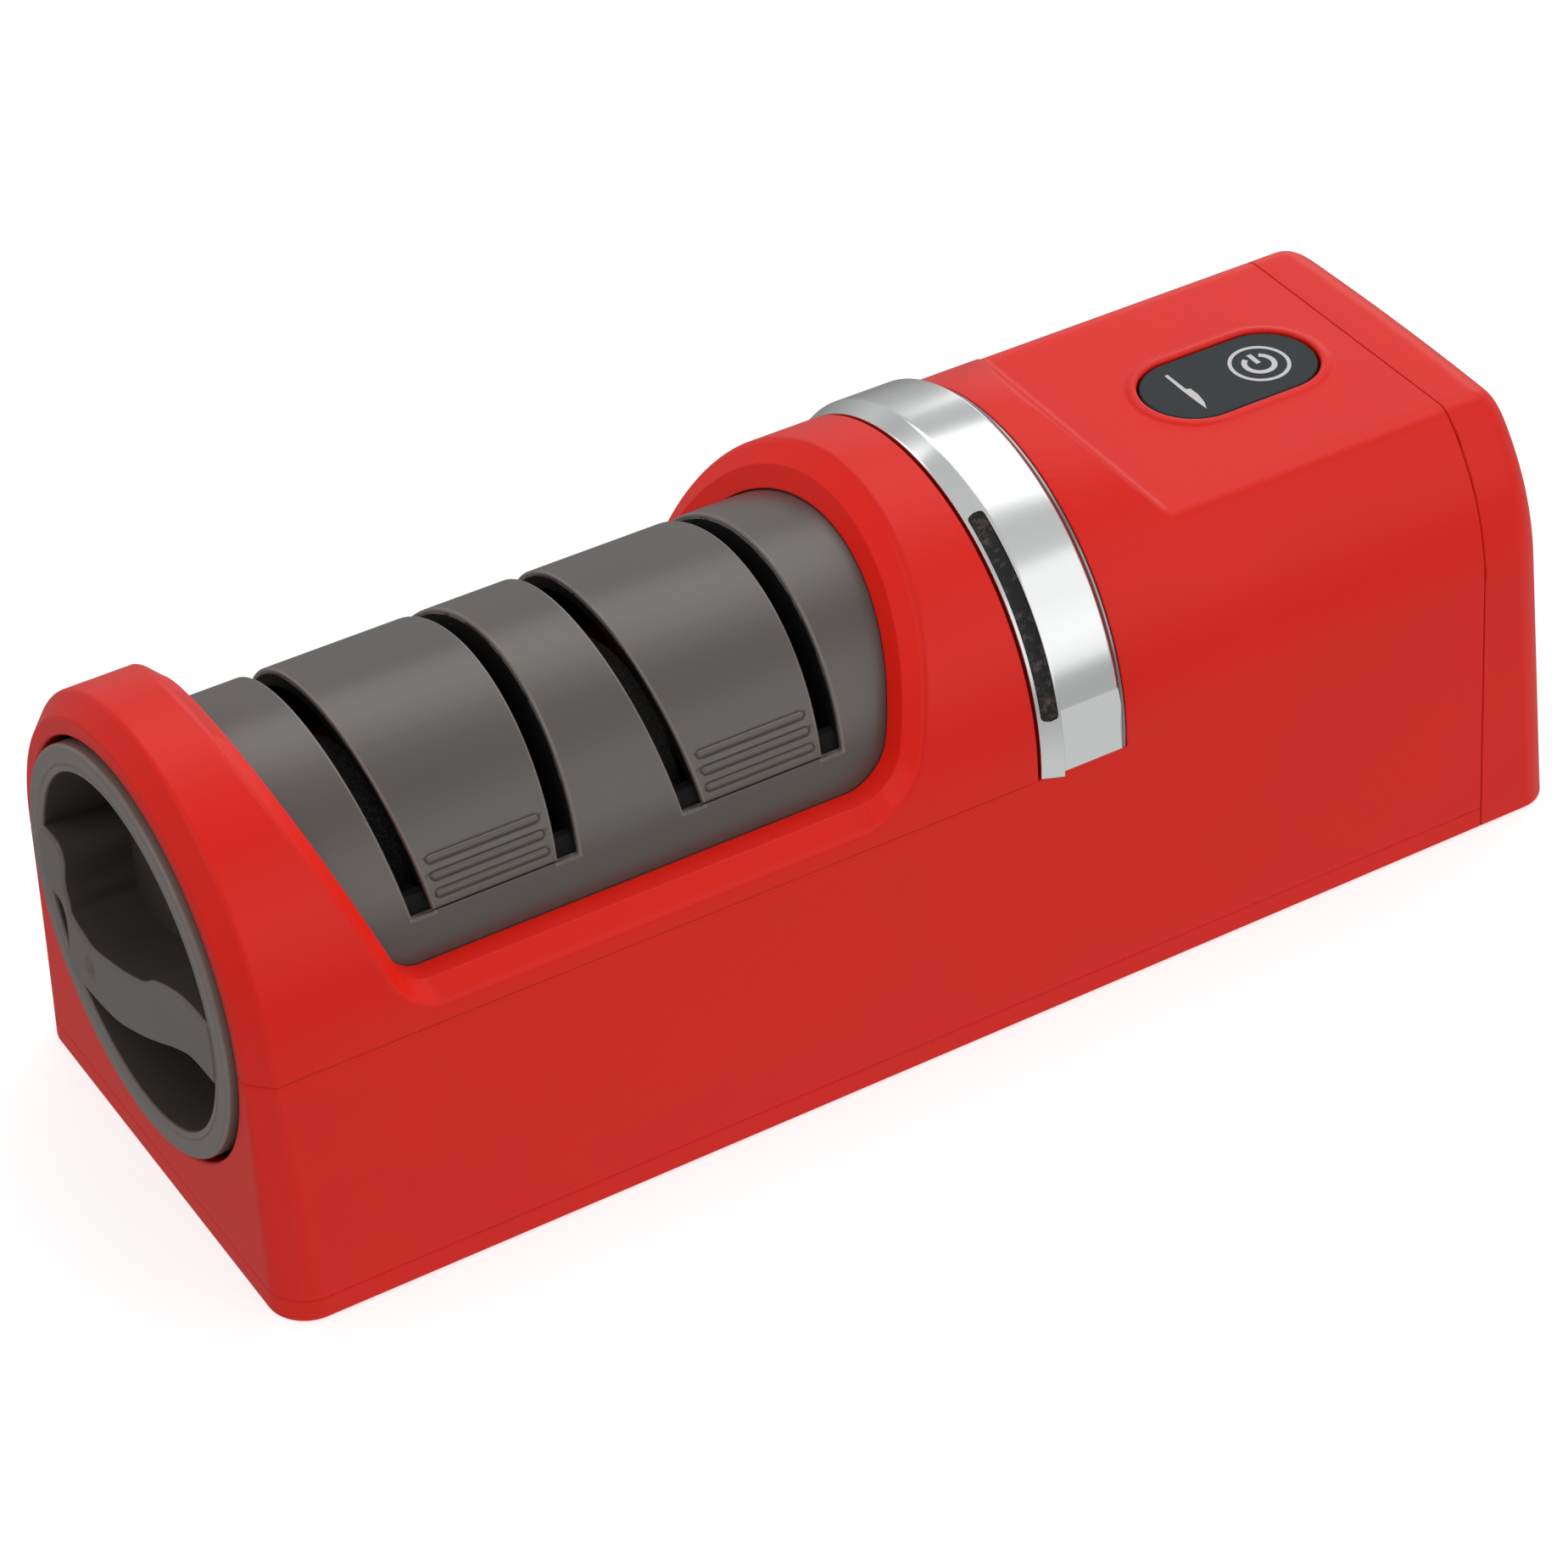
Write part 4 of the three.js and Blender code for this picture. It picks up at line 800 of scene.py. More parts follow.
def body_form(inset, foot_z=FOOT_Z, soft=0.26):
    """The whole outer form of the body, or the form that lies an inset inside it."""
    rings = front_rings(inset, foot_z, soft)

    def add_ring(place, outline):
        rings.append([Vector((along(place), y, z)) for y, z in outline])

    for place in (9, 20, 40, 60, 80, 100, 115, STEP_BROW - 1.6):
        add_ring(place, section(inset, foot_z))
    for place in spread(STEP_BROW - 1.1, STEP_FOOT - 0.8, 30) + spread(STEP_FOOT - 0.6, STEP_FOOT + 1.2, 12):
        share = min(1, max(0, (place - STEP_BROW) / (STEP_FOOT - STEP_BROW)))
        edge = BROW_EDGE + (DECK_EDGE - BROW_EDGE) * share * share * (3 - 2 * share)
        add_ring(place, section(inset, foot_z, lid_height(place), edge))
    for place in (150, 165, 180):
        add_ring(place, section(inset, foot_z, DECK_Z))
    fillet = REAR_FILLET - inset
    for turn in spread(0, math.pi / 2, 12):
        roll = fillet * (1 - math.cos(turn))
        outline = section(inset + roll, foot_z, DECK_Z, DECK_EDGE + 2 * roll)
        ring = []
        for i, (y, z) in enumerate(outline):
            heel = FOOT_CHAMFER * turn / (math.pi / 2) if i in (0, len(outline) - 1) else 0
            place = LENGTH - inset - fillet * (1 - math.sin(turn)) - rear_dip(y, z) - heel
            ring.append(Vector((along(place), y, z)))
        rings.append(ring)
    rear_edge = rings[-1]
    middle = sum(rear_edge, Vector()) / len(rear_edge)
    for share in (0.85, 0.65, 0.45, 0.25, 0.08):
        spots = [middle.lerp(point, share) for point in rear_edge]
        rings.append([
            Vector((along(LENGTH - inset - rear_dip(spot.y, spot.z)), spot.y, spot.z)) for spot in spots
        ])
    return loft(rings)


def window_edge(z, grow, side, share=1.0):
    """X of the guide window's side edge at this height: it leans outwards and has round lower corners. A share under
    one lets the edge grow less sideways than downwards."""
    radius = WINDOW_CORNERS[side] + grow
    rise = max(0, z - WINDOW_FLOOR + grow)
    corner = radius - math.sqrt(radius ** 2 - (radius - rise) ** 2) if rise < radius else 0
    return along(WINDOW_MIDDLE + side * (WINDOW_HALF + grow * share + WINDOW_SLANT * (z - SLOT_REF_Z) - corner))


def rim_cutter(radius, levels, edge, floor_z, corner_share=0.0):
    """A body that follows a barrel. At each level, a depth and a growth, its sides are edge(z, growth, side) and its
    lowest edges lie the growth under floor_z. Its rings lie closer together within the corner share."""
    half = spread(0, 1 - corner_share, 36)
    if corner_share:
        half += [1 - corner_share * (1 - math.cos(turn)) for turn in spread(math.pi / 2, 0, 20)][1:]
    shares = [-share for share in half[:0:-1]] + half
    rings = []
    for share in shares:
        left, right = [], []
        for depth, grow in levels:
            reach = radius - depth
            angle = math.acos((floor_z - grow - ARCH_Z) / reach) * share
            y, z = reach * math.sin(angle), ARCH_Z + reach * math.cos(angle)
            left.append(Vector((edge(z, grow, -1), y, z)))
            right.append(Vector((edge(z, grow, 1), y, z)))
        rings.append(left + right[::-1])
    bm = bmesh.new()
    first = draw_ring(bm, rings[0])
    last = first
    for points in rings[1:]:
        last = extrude_ring(bm, last, points)
    for ring in (first, last):
        for i in range(len(levels) - 1):
            bmesh.ops.contextual_create(bm, geom=[ring[i], ring[i + 1], ring[-i - 2], ring[-i - 1]])
    bmesh.ops.recalc_face_normals(bm, faces=bm.faces)
    return bm


def window_cutter(settings):
    """The guide window with its sloping rim, which turns softly into the casing."""
    depth, radius = mm(settings.rim_depth), mm(settings.rim_round)
    flare, right_share, last_angle, clear = 0.8, 0.8, math.radians(12), 0.3
    slope = math.atan(1 / flare)
    turn_depth = radius * (math.cos(last_angle) - math.cos(slope))
    turn_grow = flare * (depth - turn_depth)
    levels = [(9, 0.03), (depth + 0.25, 0.03), (depth + 0.1, 0.1), (depth - 0.3, 0.44), (turn_depth, turn_grow)]
    for angle in spread(slope, last_angle, 8)[1:]:
        levels.append((
            turn_depth - radius * (math.cos(angle) - math.cos(slope)),
            turn_grow + radius * (math.sin(slope) - math.sin(angle)),
        ))
    outer = levels[-1][1] + clear / math.tan(last_angle)
    levels += [(-clear, outer), (-4, outer)]
    edge = lambda z, grow, side: window_edge(z, grow, side, right_share if side > 0 else 1)
    return rim_cutter(ARCH_R, levels, edge, WINDOW_FLOOR, RIM_CORNER)


def knob_hole():
    """The round recess for the knob, with a softened mouth."""
    lip, depth = 0.35, 5.4
    radius = KNOB_R + 0.75
    return turned([
        (-FAR, 0), (-FAR, radius + lip), (0, radius + lip), (lip * 0.3, radius + lip * 0.4), (lip, radius),
        (depth, radius), (depth, 0),
    ], KNOB_Z)


def obround(grow, steps=28):
    """(x, y) pairs of the button's outline, grown by an amount."""
    radius = BUTTON_R + grow
    points = []
    for side in (1, -1):
        for angle in spread(-math.pi / 2, math.pi / 2, steps):
            points.append((
                along(BUTTON_X) + side * (BUTTON_SPAN / 2 + radius * math.cos(angle)),
                side * radius * math.sin(angle),
            ))
    return points


def obround_levels(levels):
    """A body through grown button outlines at these (growth, z) levels."""
    return loft([[Vector((x, y, z)) for x, y in obround(grow)] for grow, z in levels])


def skin_part(skin, *blocks):
    """A copy of the skin inside the first block and outside the others."""
    part = bpy.data.objects.new("part", skin.data.copy())
    bpy.context.scene.collection.objects.link(part)
    for i, shape in enumerate(blocks):
        carve(part, workpiece(shape, "region"), "DIFFERENCE" if i else "INTERSECT")
    return part


class SHARPENER_OT_casing(bpy.types.Operator):
    """Build the four red mouldings: front cover, main housing, end cap and base plate"""

    bl_idname = "sharpener.casing"
    bl_label = "Casing"

    def execute(self, context):
        settings = context.scene.sharpener_casing
        finish = casing_finish().material
        outer = workpiece(body_form(0, soft=settings.corner_round), "outer_form")
        inner = workpiece(body_form(mm(settings.skin), FOOT_Z - FAR), "inner_form")
        trim = workpiece(body_form(0.4), "trim_form")
        skin = carve(outer, inner)
        for make, name, node in (
            (self.make_cover, "cover_moulding", "front_cover"),
            (self.make_body, "body_moulding", "main_housing"),
            (self.make_cap, "cap_moulding", "end_cap"),
            (self.make_base, "base_moulding", "base_plate"),
        ):
            core = carve(frame_copy(node, node + "_core"), trim, "INTERSECT", keep=True)
            piece = make(settings, skin, core)
            settle(piece, name, finish, "casing", [node])
            if node == "front_cover":
                self.paint_window_rim_light(piece)
        discard(skin)
        discard(trim)
        return {"FINISHED"}

    def make_cover(self, settings, skin, core):
        """The upper casing round the guide window, from the end face to the chrome band."""
        end = along(CHAMBER - 0.25)
        cover = skin_part(skin, block((EVERY[0], end), WIDE, (SEAM_Z + SEAM_HALF, 90)))
        soften(cover, on_plane(0, end), mm(settings.seam_edge))
        carve(cover, core, "UNION")
        # A fine wall behind the window, so that its rim is cut from smooth stock and not from the frame's facets.
        collar = rim_cutter(ARCH_R, [(5.72, 1.5), (1.2, 1.5)], window_edge, WINDOW_FLOOR, RIM_CORNER)
        carve(cover, workpiece(collar, "collar"), "UNION")
        carve(cover, workpiece(window_cutter(settings), "window"))
        return carve(cover, workpiece(knob_hole(), "knob_hole"))

    def paint_window_rim_light(self, cover):
        """Paints the window's rim with lighter copies of the casing red, a painted light on its sloping faces: the
        steeper a face, the lighter the copy.
        """

        def in_window(spot):
            sunk = from_arch(spot) < ARCH_R - 0.3 and spot.z > WINDOW_FLOOR - 2.5
            return sunk and along(12) < spot.x < along(CHAMBER - 6)

        # Three lighter copies of the casing finish, 1.07, 1.14 and 1.22 times its colour, paint light onto the rim's
        # faces by how steep they are.
        for shade, least in ((1.07, 0.15), (1.14, 0.4), (1.22, 0.65)):
            steep = lambda spot, normal: in_window(spot) and abs(normal.x) > least
            dress(cover, casing_finish("window_red", shade), steep)

    def make_body(self, settings, skin, core):
        """The lower casing and the full-height rear, with the band's seat and the button's lip."""
        top, end, edge = SEAM_Z - SEAM_HALF, along(CAP_SEAM - SEAM_HALF), mm(settings.seam_edge)
        body = skin_part(
            skin,
            block((EVERY[0], end), WIDE, (PLATE_TOP_Z + SEAM_HALF, 90)),
            block((EVERY[0], along(CHAMBER - 0.2)), WIDE, (top, 90)),
        )
        soften(body, on_plane(2, top), 2 * edge, 3)
        soften(body, on_plane(0, end), edge)
        seat = workpiece(turned([
            (CHAMBER - 3, BAND_SEAT), (CHAMBER - 3, 50), (BAND_END + 0.22, 50), (BAND_END + 0.22, ARCH_R + 0.2),
            (BAND_END + 0.02, ARCH_R - 0.12), (BAND_END, ARCH_R - 0.3), (BAND_END, BAND_SEAT),
        ], ARCH_Z), "seat")
        carve(seat, workpiece(block(EVERY, WIDE, (top, 90)), "upper"), "INTERSECT")
        carve(body, seat)
        carve(body, core, "UNION")
        width, height = mm(settings.lip_width), mm(settings.lip_height)
        lip = obround_levels([
            (width + 0.25, DECK_Z - 1), (width + 0.25, DECK_Z - 0.02), (width - 0.05, DECK_Z + height * 0.25),
            (width - 0.35, DECK_Z + height * 0.7), (width - 0.7, DECK_Z + height * 0.95),
            (width - 1.0, DECK_Z + height), (0.2, DECK_Z + height),
        ])
        carve(body, workpiece(lip, "lip"), "UNION")
        hole = obround_levels([
            (0.3, DECK_Z - 6), (0.3, DECK_Z + 0.05), (0.38, DECK_Z + height * 0.65), (0.6, DECK_Z + height + 0.01),
            (1.0, DECK_Z + height + 0.4), (1.0, DECK_Z + 3),
        ])
        carve(body, workpiece(hole, "button_hole"))
        return carve(body, workpiece(knob_hole(), "knob_hole"))

    def make_cap(self, settings, skin, core):
        """The rear end, with the hole for the charging inlet."""
        start = along(CAP_SEAM + SEAM_HALF)
        cap = skin_part(skin, block((start, EVERY[1]), WIDE, (0, 90)))
        soften(cap, on_plane(0, start), mm(settings.seam_edge))
        carve(cap, core, "UNION")
        low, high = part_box("charging_inlet")
        gap, corner = 0.3, 1.4
        port = block(
            (along(LENGTH - 6), EVERY[1]),
            (mm(low.y) - gap, mm(high.y) + gap),
            (mm(low.z) - gap, mm(high.z) + gap),
        )
        long_edges = [e for e in port.edges if abs(e.verts[0].co.x - e.verts[1].co.x) > 1]
        round_edges(port, long_edges, corner, 6, clamp=False)
        return carve(cap, workpiece(port, "port"))

    def make_base(self, settings, skin, core):
        """The bottom, up to its seam."""
        top, end, edge = PLATE_TOP_Z - SEAM_HALF, along(CAP_SEAM - SEAM_HALF), mm(settings.seam_edge)
        plate = skin_part(skin, block((EVERY[0], end), WIDE, (0, top)))
        soften(plate, on_plane(2, top), edge)
        soften(plate, on_plane(0, end), edge)
        return carve(plate, core, "UNION")


# Where the dark inlay of the band's front bevel starts and ends, as angles from the crown.
GROOVE = (math.radians(26), math.radians(76))


class SHARPENER_OT_band(bpy.types.Operator):
    """Build the chromed band round the crown: a strip with a raised, bevelled pad"""

    bl_idname = "sharpener.band"
    bl_label = "Chrome band"

    def execute(self, context):
        settings = context.scene.sharpener_band
        front, rear = CHAMBER + HALF_GAP, BAND_END - HALF_GAP
        inner = BAND_SEAT + 0.3
        lip_r = ARCH_R + 0.08
        top_r = inner + 0.5 + mm(settings.raise_height)
        bevel, rear_bevel = mm(settings.front_bevel), mm(settings.rear_bevel)
        pad_front, pad_rear = front + 0.32, rear - 0.45
        brow = pad_front + bevel
        band = workpiece(turned([
            (front, inner), (front, lip_r - 0.14), (front + 0.05, lip_r - 0.04), (front + 0.15, lip_r),
            (pad_front, lip_r + 0.02), (brow - 0.25, top_r - 0.11), (brow - 0.08, top_r - 0.04),
            (brow + 0.1, top_r - 0.01), (brow + 0.3, top_r),
            (pad_rear - rear_bevel - 0.25, top_r), (pad_rear - rear_bevel - 0.1, top_r - 0.02),
            (pad_rear - rear_bevel + 0.05, top_r - 0.1), (pad_rear - 0.05, lip_r + 0.1), (pad_rear + 0.05, lip_r),
            (rear - 0.12, lip_r), (rear, lip_r - 0.12), (rear, inner),
        ], ARCH_Z, FINE_TURN), "band")
        carve(band, workpiece(block(EVERY, WIDE, (SEAM_Z + SEAM_HALF, 90)), "upper"), "INTERSECT")
        pad_end = ARCH_Z + mm(settings.end_rise)
        for face in (-1, 1):
            outline = [(face * (HALF_WIDTH - DRAFT * z + 0.12), z) for z in (30, pad_end)]
            outline += [(face * 60, pad_end), (face * 60, 30)]
            foot = prism(outline, "X", (along(brow + 0.15), along(pad_rear - 0.2)))
            carve(band, workpiece(foot, "foot"))
        at_end = on_plane(2, pad_end)
        soften(band, lambda co: at_end(co) and from_arch(co) > top_r - 0.1, 0.12)
        lie = Vector((bevel, top_r - lip_r)).normalized()
        rise = Vector((-lie.y, lie.x))
        middle = Vector((pad_front + bevel / 2, (lip_r + top_r) / 2))
        half = (bevel - 0.12) / 2
        carve(band, workpiece(self.groove(middle, lie * half, rise * 0.34), "groove"))
        settle(band, "band_trim", chrome_finish().material, "casing", ["chrome_band"])

        def in_groove(spot, normal):
            offset = Vector((spot.x - along(middle.x), from_arch(spot) - middle.y))
            turn = math.atan2(-spot.y, spot.z - ARCH_Z)
            return abs(offset.dot(lie)) < half and -0.4 < offset.dot(rise) < -0.012 and GROOVE[0] < turn < GROOVE[1]

        def on_rear_edge(spot, normal):
            return spot.x > along(pad_rear - rear_bevel - 0.02)

        dress(band, inlay_finish(), in_groove)
        # The rear bevel and the strip behind it take the chrome at 0.4 of its colour: a painted dark reflection.
        dress(band, chrome_finish("smoked_chrome", 0.4), on_rear_edge)
        return {"FINISHED"}

    def groove(self, middle, across, rise):
        """A body for a shallow round-ended groove along the front bevel, on the side that the photograph shows."""
        end = across.length / middle.y
        turns = spread(GROOVE[0], GROOVE[0] + end, 8)[:-1] + spread(GROOVE[0] + end, GROOVE[1] - end, 60)
        turns += spread(GROOVE[1] - end, GROOVE[1], 8)[1:]
        rings = []
        for turn in turns:
            gap = min(turn - GROOVE[0], GROOVE[1] - turn, end) / end
            size = max(1 - (1 - gap) ** 4, 0.002) ** 0.5
            ring = []
            for step in spread(0, math.tau, 24)[:-1]:
                x, r = middle + across * size * math.cos(step) + rise * size * math.sin(step)
                ring.append(Vector((along(x), -r * math.sin(turn), ARCH_Z + r * math.cos(turn))))
            rings.append(ring)
        return loft(rings)


class SHARPENER_OT_guide(bpy.types.Operator):
    """Build the blade guide hood: a barrel with four leaning slots, ledges and grooved grip bars"""

    bl_idname = "sharpener.guide"
    bl_label = "Guide hood"

    def execute(self, context):
        settings = context.scene.sharpener_guide
        barrel = tube((0, CHAMBER), (HOOD_R - 2.2, HOOD_R), ARCH_Z, FINE_TURN)
        hood = workpiece(barrel, "barrel")
        tuck = 1.4
        outline = [(window_edge(z, tuck, 1), z) for z in self.heights(tuck, 1)]
        outline += [(window_edge(z, tuck, -1), z) for z in reversed(self.heights(tuck, -1))]
        carve(hood, workpiece(prism(outline, "Y", WIDE), "outline"), "INTERSECT")
        whole = (-5, CHAMBER + 5)
        core = frame_copy("guide_hood", "hood_core")
        trim = tube(whole, (0, HOOD_R - 0.35), ARCH_Z, FINE_TURN)
        carve(core, workpiece(trim, "trim"), "INTERSECT")
        for place, side in SLOTS:
            carve(hood, workpiece(self.slab(place, side, SLOT_FLOOR + 1.8), "slot"))
            ledge = workpiece(self.slab(place, side, SLOT_FLOOR), "ledge")
            shell = tube(whole, (HOOD_R - 1.2, 50), ARCH_Z, 160)
            carve(ledge, workpiece(shell, "shell"), "INTERSECT")
            carve(hood, ledge)
        carve(hood, core, "UNION")
        lip = mm(settings.slot_lip)
        levels = [
            (0.7, 0), (lip, 0.01), (lip * 0.45, lip * 0.2), (lip * 0.12, lip * 0.6), (0, lip), (-0.3, lip + 0.8),
            (-1, lip + 0.8),
        ]
        for place, side in SLOTS:
            edge = lambda z, grow, hand: self.slot_middle(place, side, z) + hand * (SLOT_HALF + grow)
            carve(hood, workpiece(rim_cutter(HOOD_R, levels, edge, SLOT_FLOOR), "slot_lip"))
        radius, moat, length = mm(settings.bar_radius), mm(settings.moat_depth), mm(settings.bar_length)
        wide, proud = radius + 0.36, 0.22
        for pair in PAIRS:
            for face in (-1, 1):
                for i in range(3):
                    angle = face * (BAR_ANGLE + BAR_ANGLE_STEP * i)
                    groove = self.bar(pair, angle, wide, length + 0.5, HOOD_R + wide - moat)
                    carve(hood, workpiece(groove, "moat"))
                    bar = self.bar(pair, angle, radius, length, HOOD_R + proud - radius)
                    carve(hood, workpiece(bar, "bar"), "UNION")
                carve(hood, workpiece(self.foot_line(pair, face), "foot_line"))
        settle(hood, "hood_moulding", guide_finish().material, "casing", ["guide_hood"], turn=28)
        # Every face deeper than 0.72 mm under the hood's outer surface, the slot walls and the inside, is made
        # near-black.
        deep_face_finish = plastic_finish("guide_insert", (0.010, 0.009, 0.009), 0.6, 0.1)
        dress(hood, deep_face_finish, lambda spot, normal: from_arch(spot) < HOOD_R - 0.72)
        # The slot lips get the guide finish 2.2 times lighter and glossier: a painted highlight along the turned edges.
        dress(hood, guide_finish("taupe_edge", 2.2, 0.2, 0.9), self.on_lip)
        return {"FINISHED"}

    def slot_middle(self, place, side, z):
        """X of a leaning slot's middle at this height."""
        return along(place) + side * SLOT_TILT * (z - SLOT_REF_Z)

    def on_lip(self, spot, normal):
        """Whether a face belongs to the turned edge of a slot."""
        out = Vector((0, spot.y, spot.z - ARCH_Z))
        if spot.z < SLOT_FLOOR - 0.5 or out.length < HOOD_R - 0.5 or normal.dot(out.normalized()) > 0.97:
            return False
        offsets = [abs(spot.x - self.slot_middle(place, side, spot.z)) for place, side in SLOTS]
        return any(SLOT_HALF - 0.1 < offset < SLOT_HALF + 0.7 for offset in offsets)

    def heights(self, grow, side):
        """Heights for the window outline, close together in its round corner."""
        low, radius = WINDOW_FLOOR - grow, WINDOW_CORNERS[side] + grow
        return [low + radius * (1 - math.cos(turn)) for turn in spread(0, math.pi / 2, 14)] + [CROWN_Z + 5]

    def slab(self, place, side, floor_z):
        """A leaning slab that cuts one slot down to a floor."""
        top = CROWN_Z + 5
        at = lambda hand, z: (self.slot_middle(place, side, z) + hand * SLOT_HALF, z)
        return prism([at(-1, floor_z), at(1, floor_z), at(1, top), at(-1, top)], "Y", WIDE)

    def bar(self, place, angle, radius, length, reach):
        """A round-ended bar along X at an angle round the barrel."""
        bm = bmesh.new()
        bmesh.ops.create_cone(bm, cap_ends=True, segments=20, radius1=radius, radius2=radius, depth=length)
        rims = [edge for edge in bm.edges if abs(edge.verts[0].co.z - edge.verts[1].co.z) < 1e-6]
        round_edges(bm, rims, radius * 0.9, 4)
        bmesh.ops.rotate(bm, verts=bm.verts, matrix=Matrix.Rotation(math.pi / 2, 3, "Y"))
        return self.lay_on(bm, place, angle, reach)

    def foot_line(self, pair, face):
        """A fine line that joins the lower ends of a pair's two slots."""
        bm = block((-9.2, 9.2), (-0.11, 0.11), (-0.5, 0.14))
        angle = face * math.acos((SLOT_FLOOR + 0.2 - ARCH_Z) / HOOD_R)
        bmesh.ops.rotate(bm, verts=bm.verts, matrix=Matrix.Rotation(-angle, 3, "X"))
        return self.lay_on(bm, pair, angle, HOOD_R - 0.02)

    def lay_on(self, bm, place, angle, reach):
        """Moves a body out to a place and an angle round the barrel."""
        spot = Vector((along(place), reach * math.sin(angle), ARCH_Z + reach * math.cos(angle)))
        bmesh.ops.translate(bm, verts=bm.verts, vec=spot)
        return bm


# The grip's edges on the knob as shares of the opening's radius, from the left rim to the right rim and back.
GRIP_TOP = [
    (-1.06, 0.19), (-0.89, 0.208), (-0.784, 0.19), (-0.745, 0.104), (-0.775, -0.065), (-0.749, -0.16),
    (-0.727, -0.247), (-0.623, -0.281), (-0.476, -0.299), (-0.264, -0.242), (-0.048, -0.169), (0.173, -0.069),
    (0.32, 0.039), (0.537, 0.139), (0.753, 0.199), (1.06, 0.215),
]
GRIP_FOOT = [
    (1.06, -0.169), (0.753, -0.186), (0.537, -0.273), (0.32, -0.39), (0.074, -0.515), (-0.2, -0.628),
    (-0.355, -0.662), (-0.511, -0.68), (-0.667, -0.684), (-0.78, -0.7), (-0.87, -0.6), (-0.818, -0.532),
    (-0.805, -0.407), (-0.805, -0.316), (-0.823, -0.251), (-0.861, -0.225), (-0.944, -0.216), (-1.06, -0.21),
]
DIMPLE = (-0.53, -0.47)


def smooth_line(points, steps=6):
    """A smooth line that passes through these points."""
    points = [Vector(point) for point in points]
    ends = [points[0] * 2 - points[1], *points, points[-1] * 2 - points[-2]]
    line = []
    for a, b, c, d in zip(ends, ends[1:], ends[2:], ends[3:]):
        for i in range(steps):
            t = i / steps
            line.append(
                (b * 2 + (c - a) * t + (a * 2 - b * 5 + c * 4 - d) * t ** 2 + (b * 3 - a - c * 3 + d) * t ** 3) / 2
            )
    return [*line, points[-1]]


class SHARPENER_OT_knob(bpy.types.Operator):
    """Build the turning end knob: a ring and cup crossed by an S-shaped grip bar with a dimple"""

    bl_idname = "sharpener.knob"
    bl_label = "End knob"

    def execute(self, context):
        settings = context.scene.sharpener_knob
        edge = mm(settings.edge)
        face = -KNOB_PROUD
        inner = face + 0.15
        floor_x = inner + mm(settings.pocket_depth)
        back_x = floor_x + 1.2
        opening, segments, pivot_r, pivot_length = KNOB_OPENING, 200, 4, 4.6
        outer_turn = [
            (face + edge * (1 - math.sin(t)), KNOB_R - edge * (1 - math.cos(t))) for t in spread(math.pi / 2, 0, 6)
        ]
        knob = workpiece(turned([
            (floor_x, 0), (floor_x, opening - 0.8), (floor_x - 0.25, opening - 0.25), (floor_x - 0.8, opening),
            (inner + 0.45, opening), (inner + 0.12, opening + 0.12), (inner, opening + 0.4),
            (inner - 0.02, opening + 0.85), (inner + 0.12, opening + 0.95), (inner + 0.12, opening + 1.1),
            (inner - 0.06, opening + 1.25), *outer_turn, (back_x, KNOB_R), (back_x, pivot_r),
            (back_x + pivot_length, pivot_r), (back_x + pivot_length, 0),
        ], KNOB_Z, segments), "cup")
        on_face = lambda across, up: (-across * opening, KNOB_Z + up * opening)
        outline = [on_face(*point) for point in smooth_line(GRIP_TOP) + smooth_line(GRIP_FOOT)]
        bar_face = inner - 0.2
        bar = workpiece(prism(outline, "X", (along(bar_face), along(floor_x + 0.6))), "bar")
        soften(bar, on_plane(0, along(bar_face)), mm(settings.bar_edge), 4)
        rim = tube((bar_face - 1, back_x), (0, opening + 0.3), KNOB_Z, segments)
        carve(bar, workpiece(rim, "rim"), "INTERSECT")
        carve(knob, bar, "UNION")
        dimple = bmesh.new()
        ball_r, ball_lift = 2.2, 1.45
        bmesh.ops.create_uvsphere(dimple, u_segments=48, v_segments=32, radius=ball_r)
        bmesh.ops.scale(dimple, verts=dimple.verts, vec=Vector((1, 0.9, 1.25)))
        y, z = on_face(*DIMPLE)
        bmesh.ops.translate(dimple, verts=dimple.verts, vec=Vector((along(bar_face - ball_lift), y, z)))
        carve(knob, workpiece(dimple, "dimple"))
        # The ring and cup take the guide colour 2.4 times lighter, a painted light on the dim knob end; the grip inside
        # the opening takes it 1.85 times, painted light with painted shade against the ring; faces deeper than 1.2 mm
        # into the pockets take 0.9 times, a painted shade in the pockets.
        settle(knob, "knob_moulding", guide_finish("taupe_knob", 2.4).material, "knob", ["end_knob"])
        inside = lambda spot: math.hypot(spot.y, spot.z - KNOB_Z) < opening + 0.02
        dress(knob, guide_finish("taupe_grip", 1.85, 0.32, 0.7), lambda spot, normal: inside(spot))
        deep = along(bar_face + 1.2)
        dress(knob, guide_finish("taupe_pocket", 0.9, 0.5, 0.2), lambda spot, normal: inside(spot) and spot.x > deep)
        return {"FINISHED"}


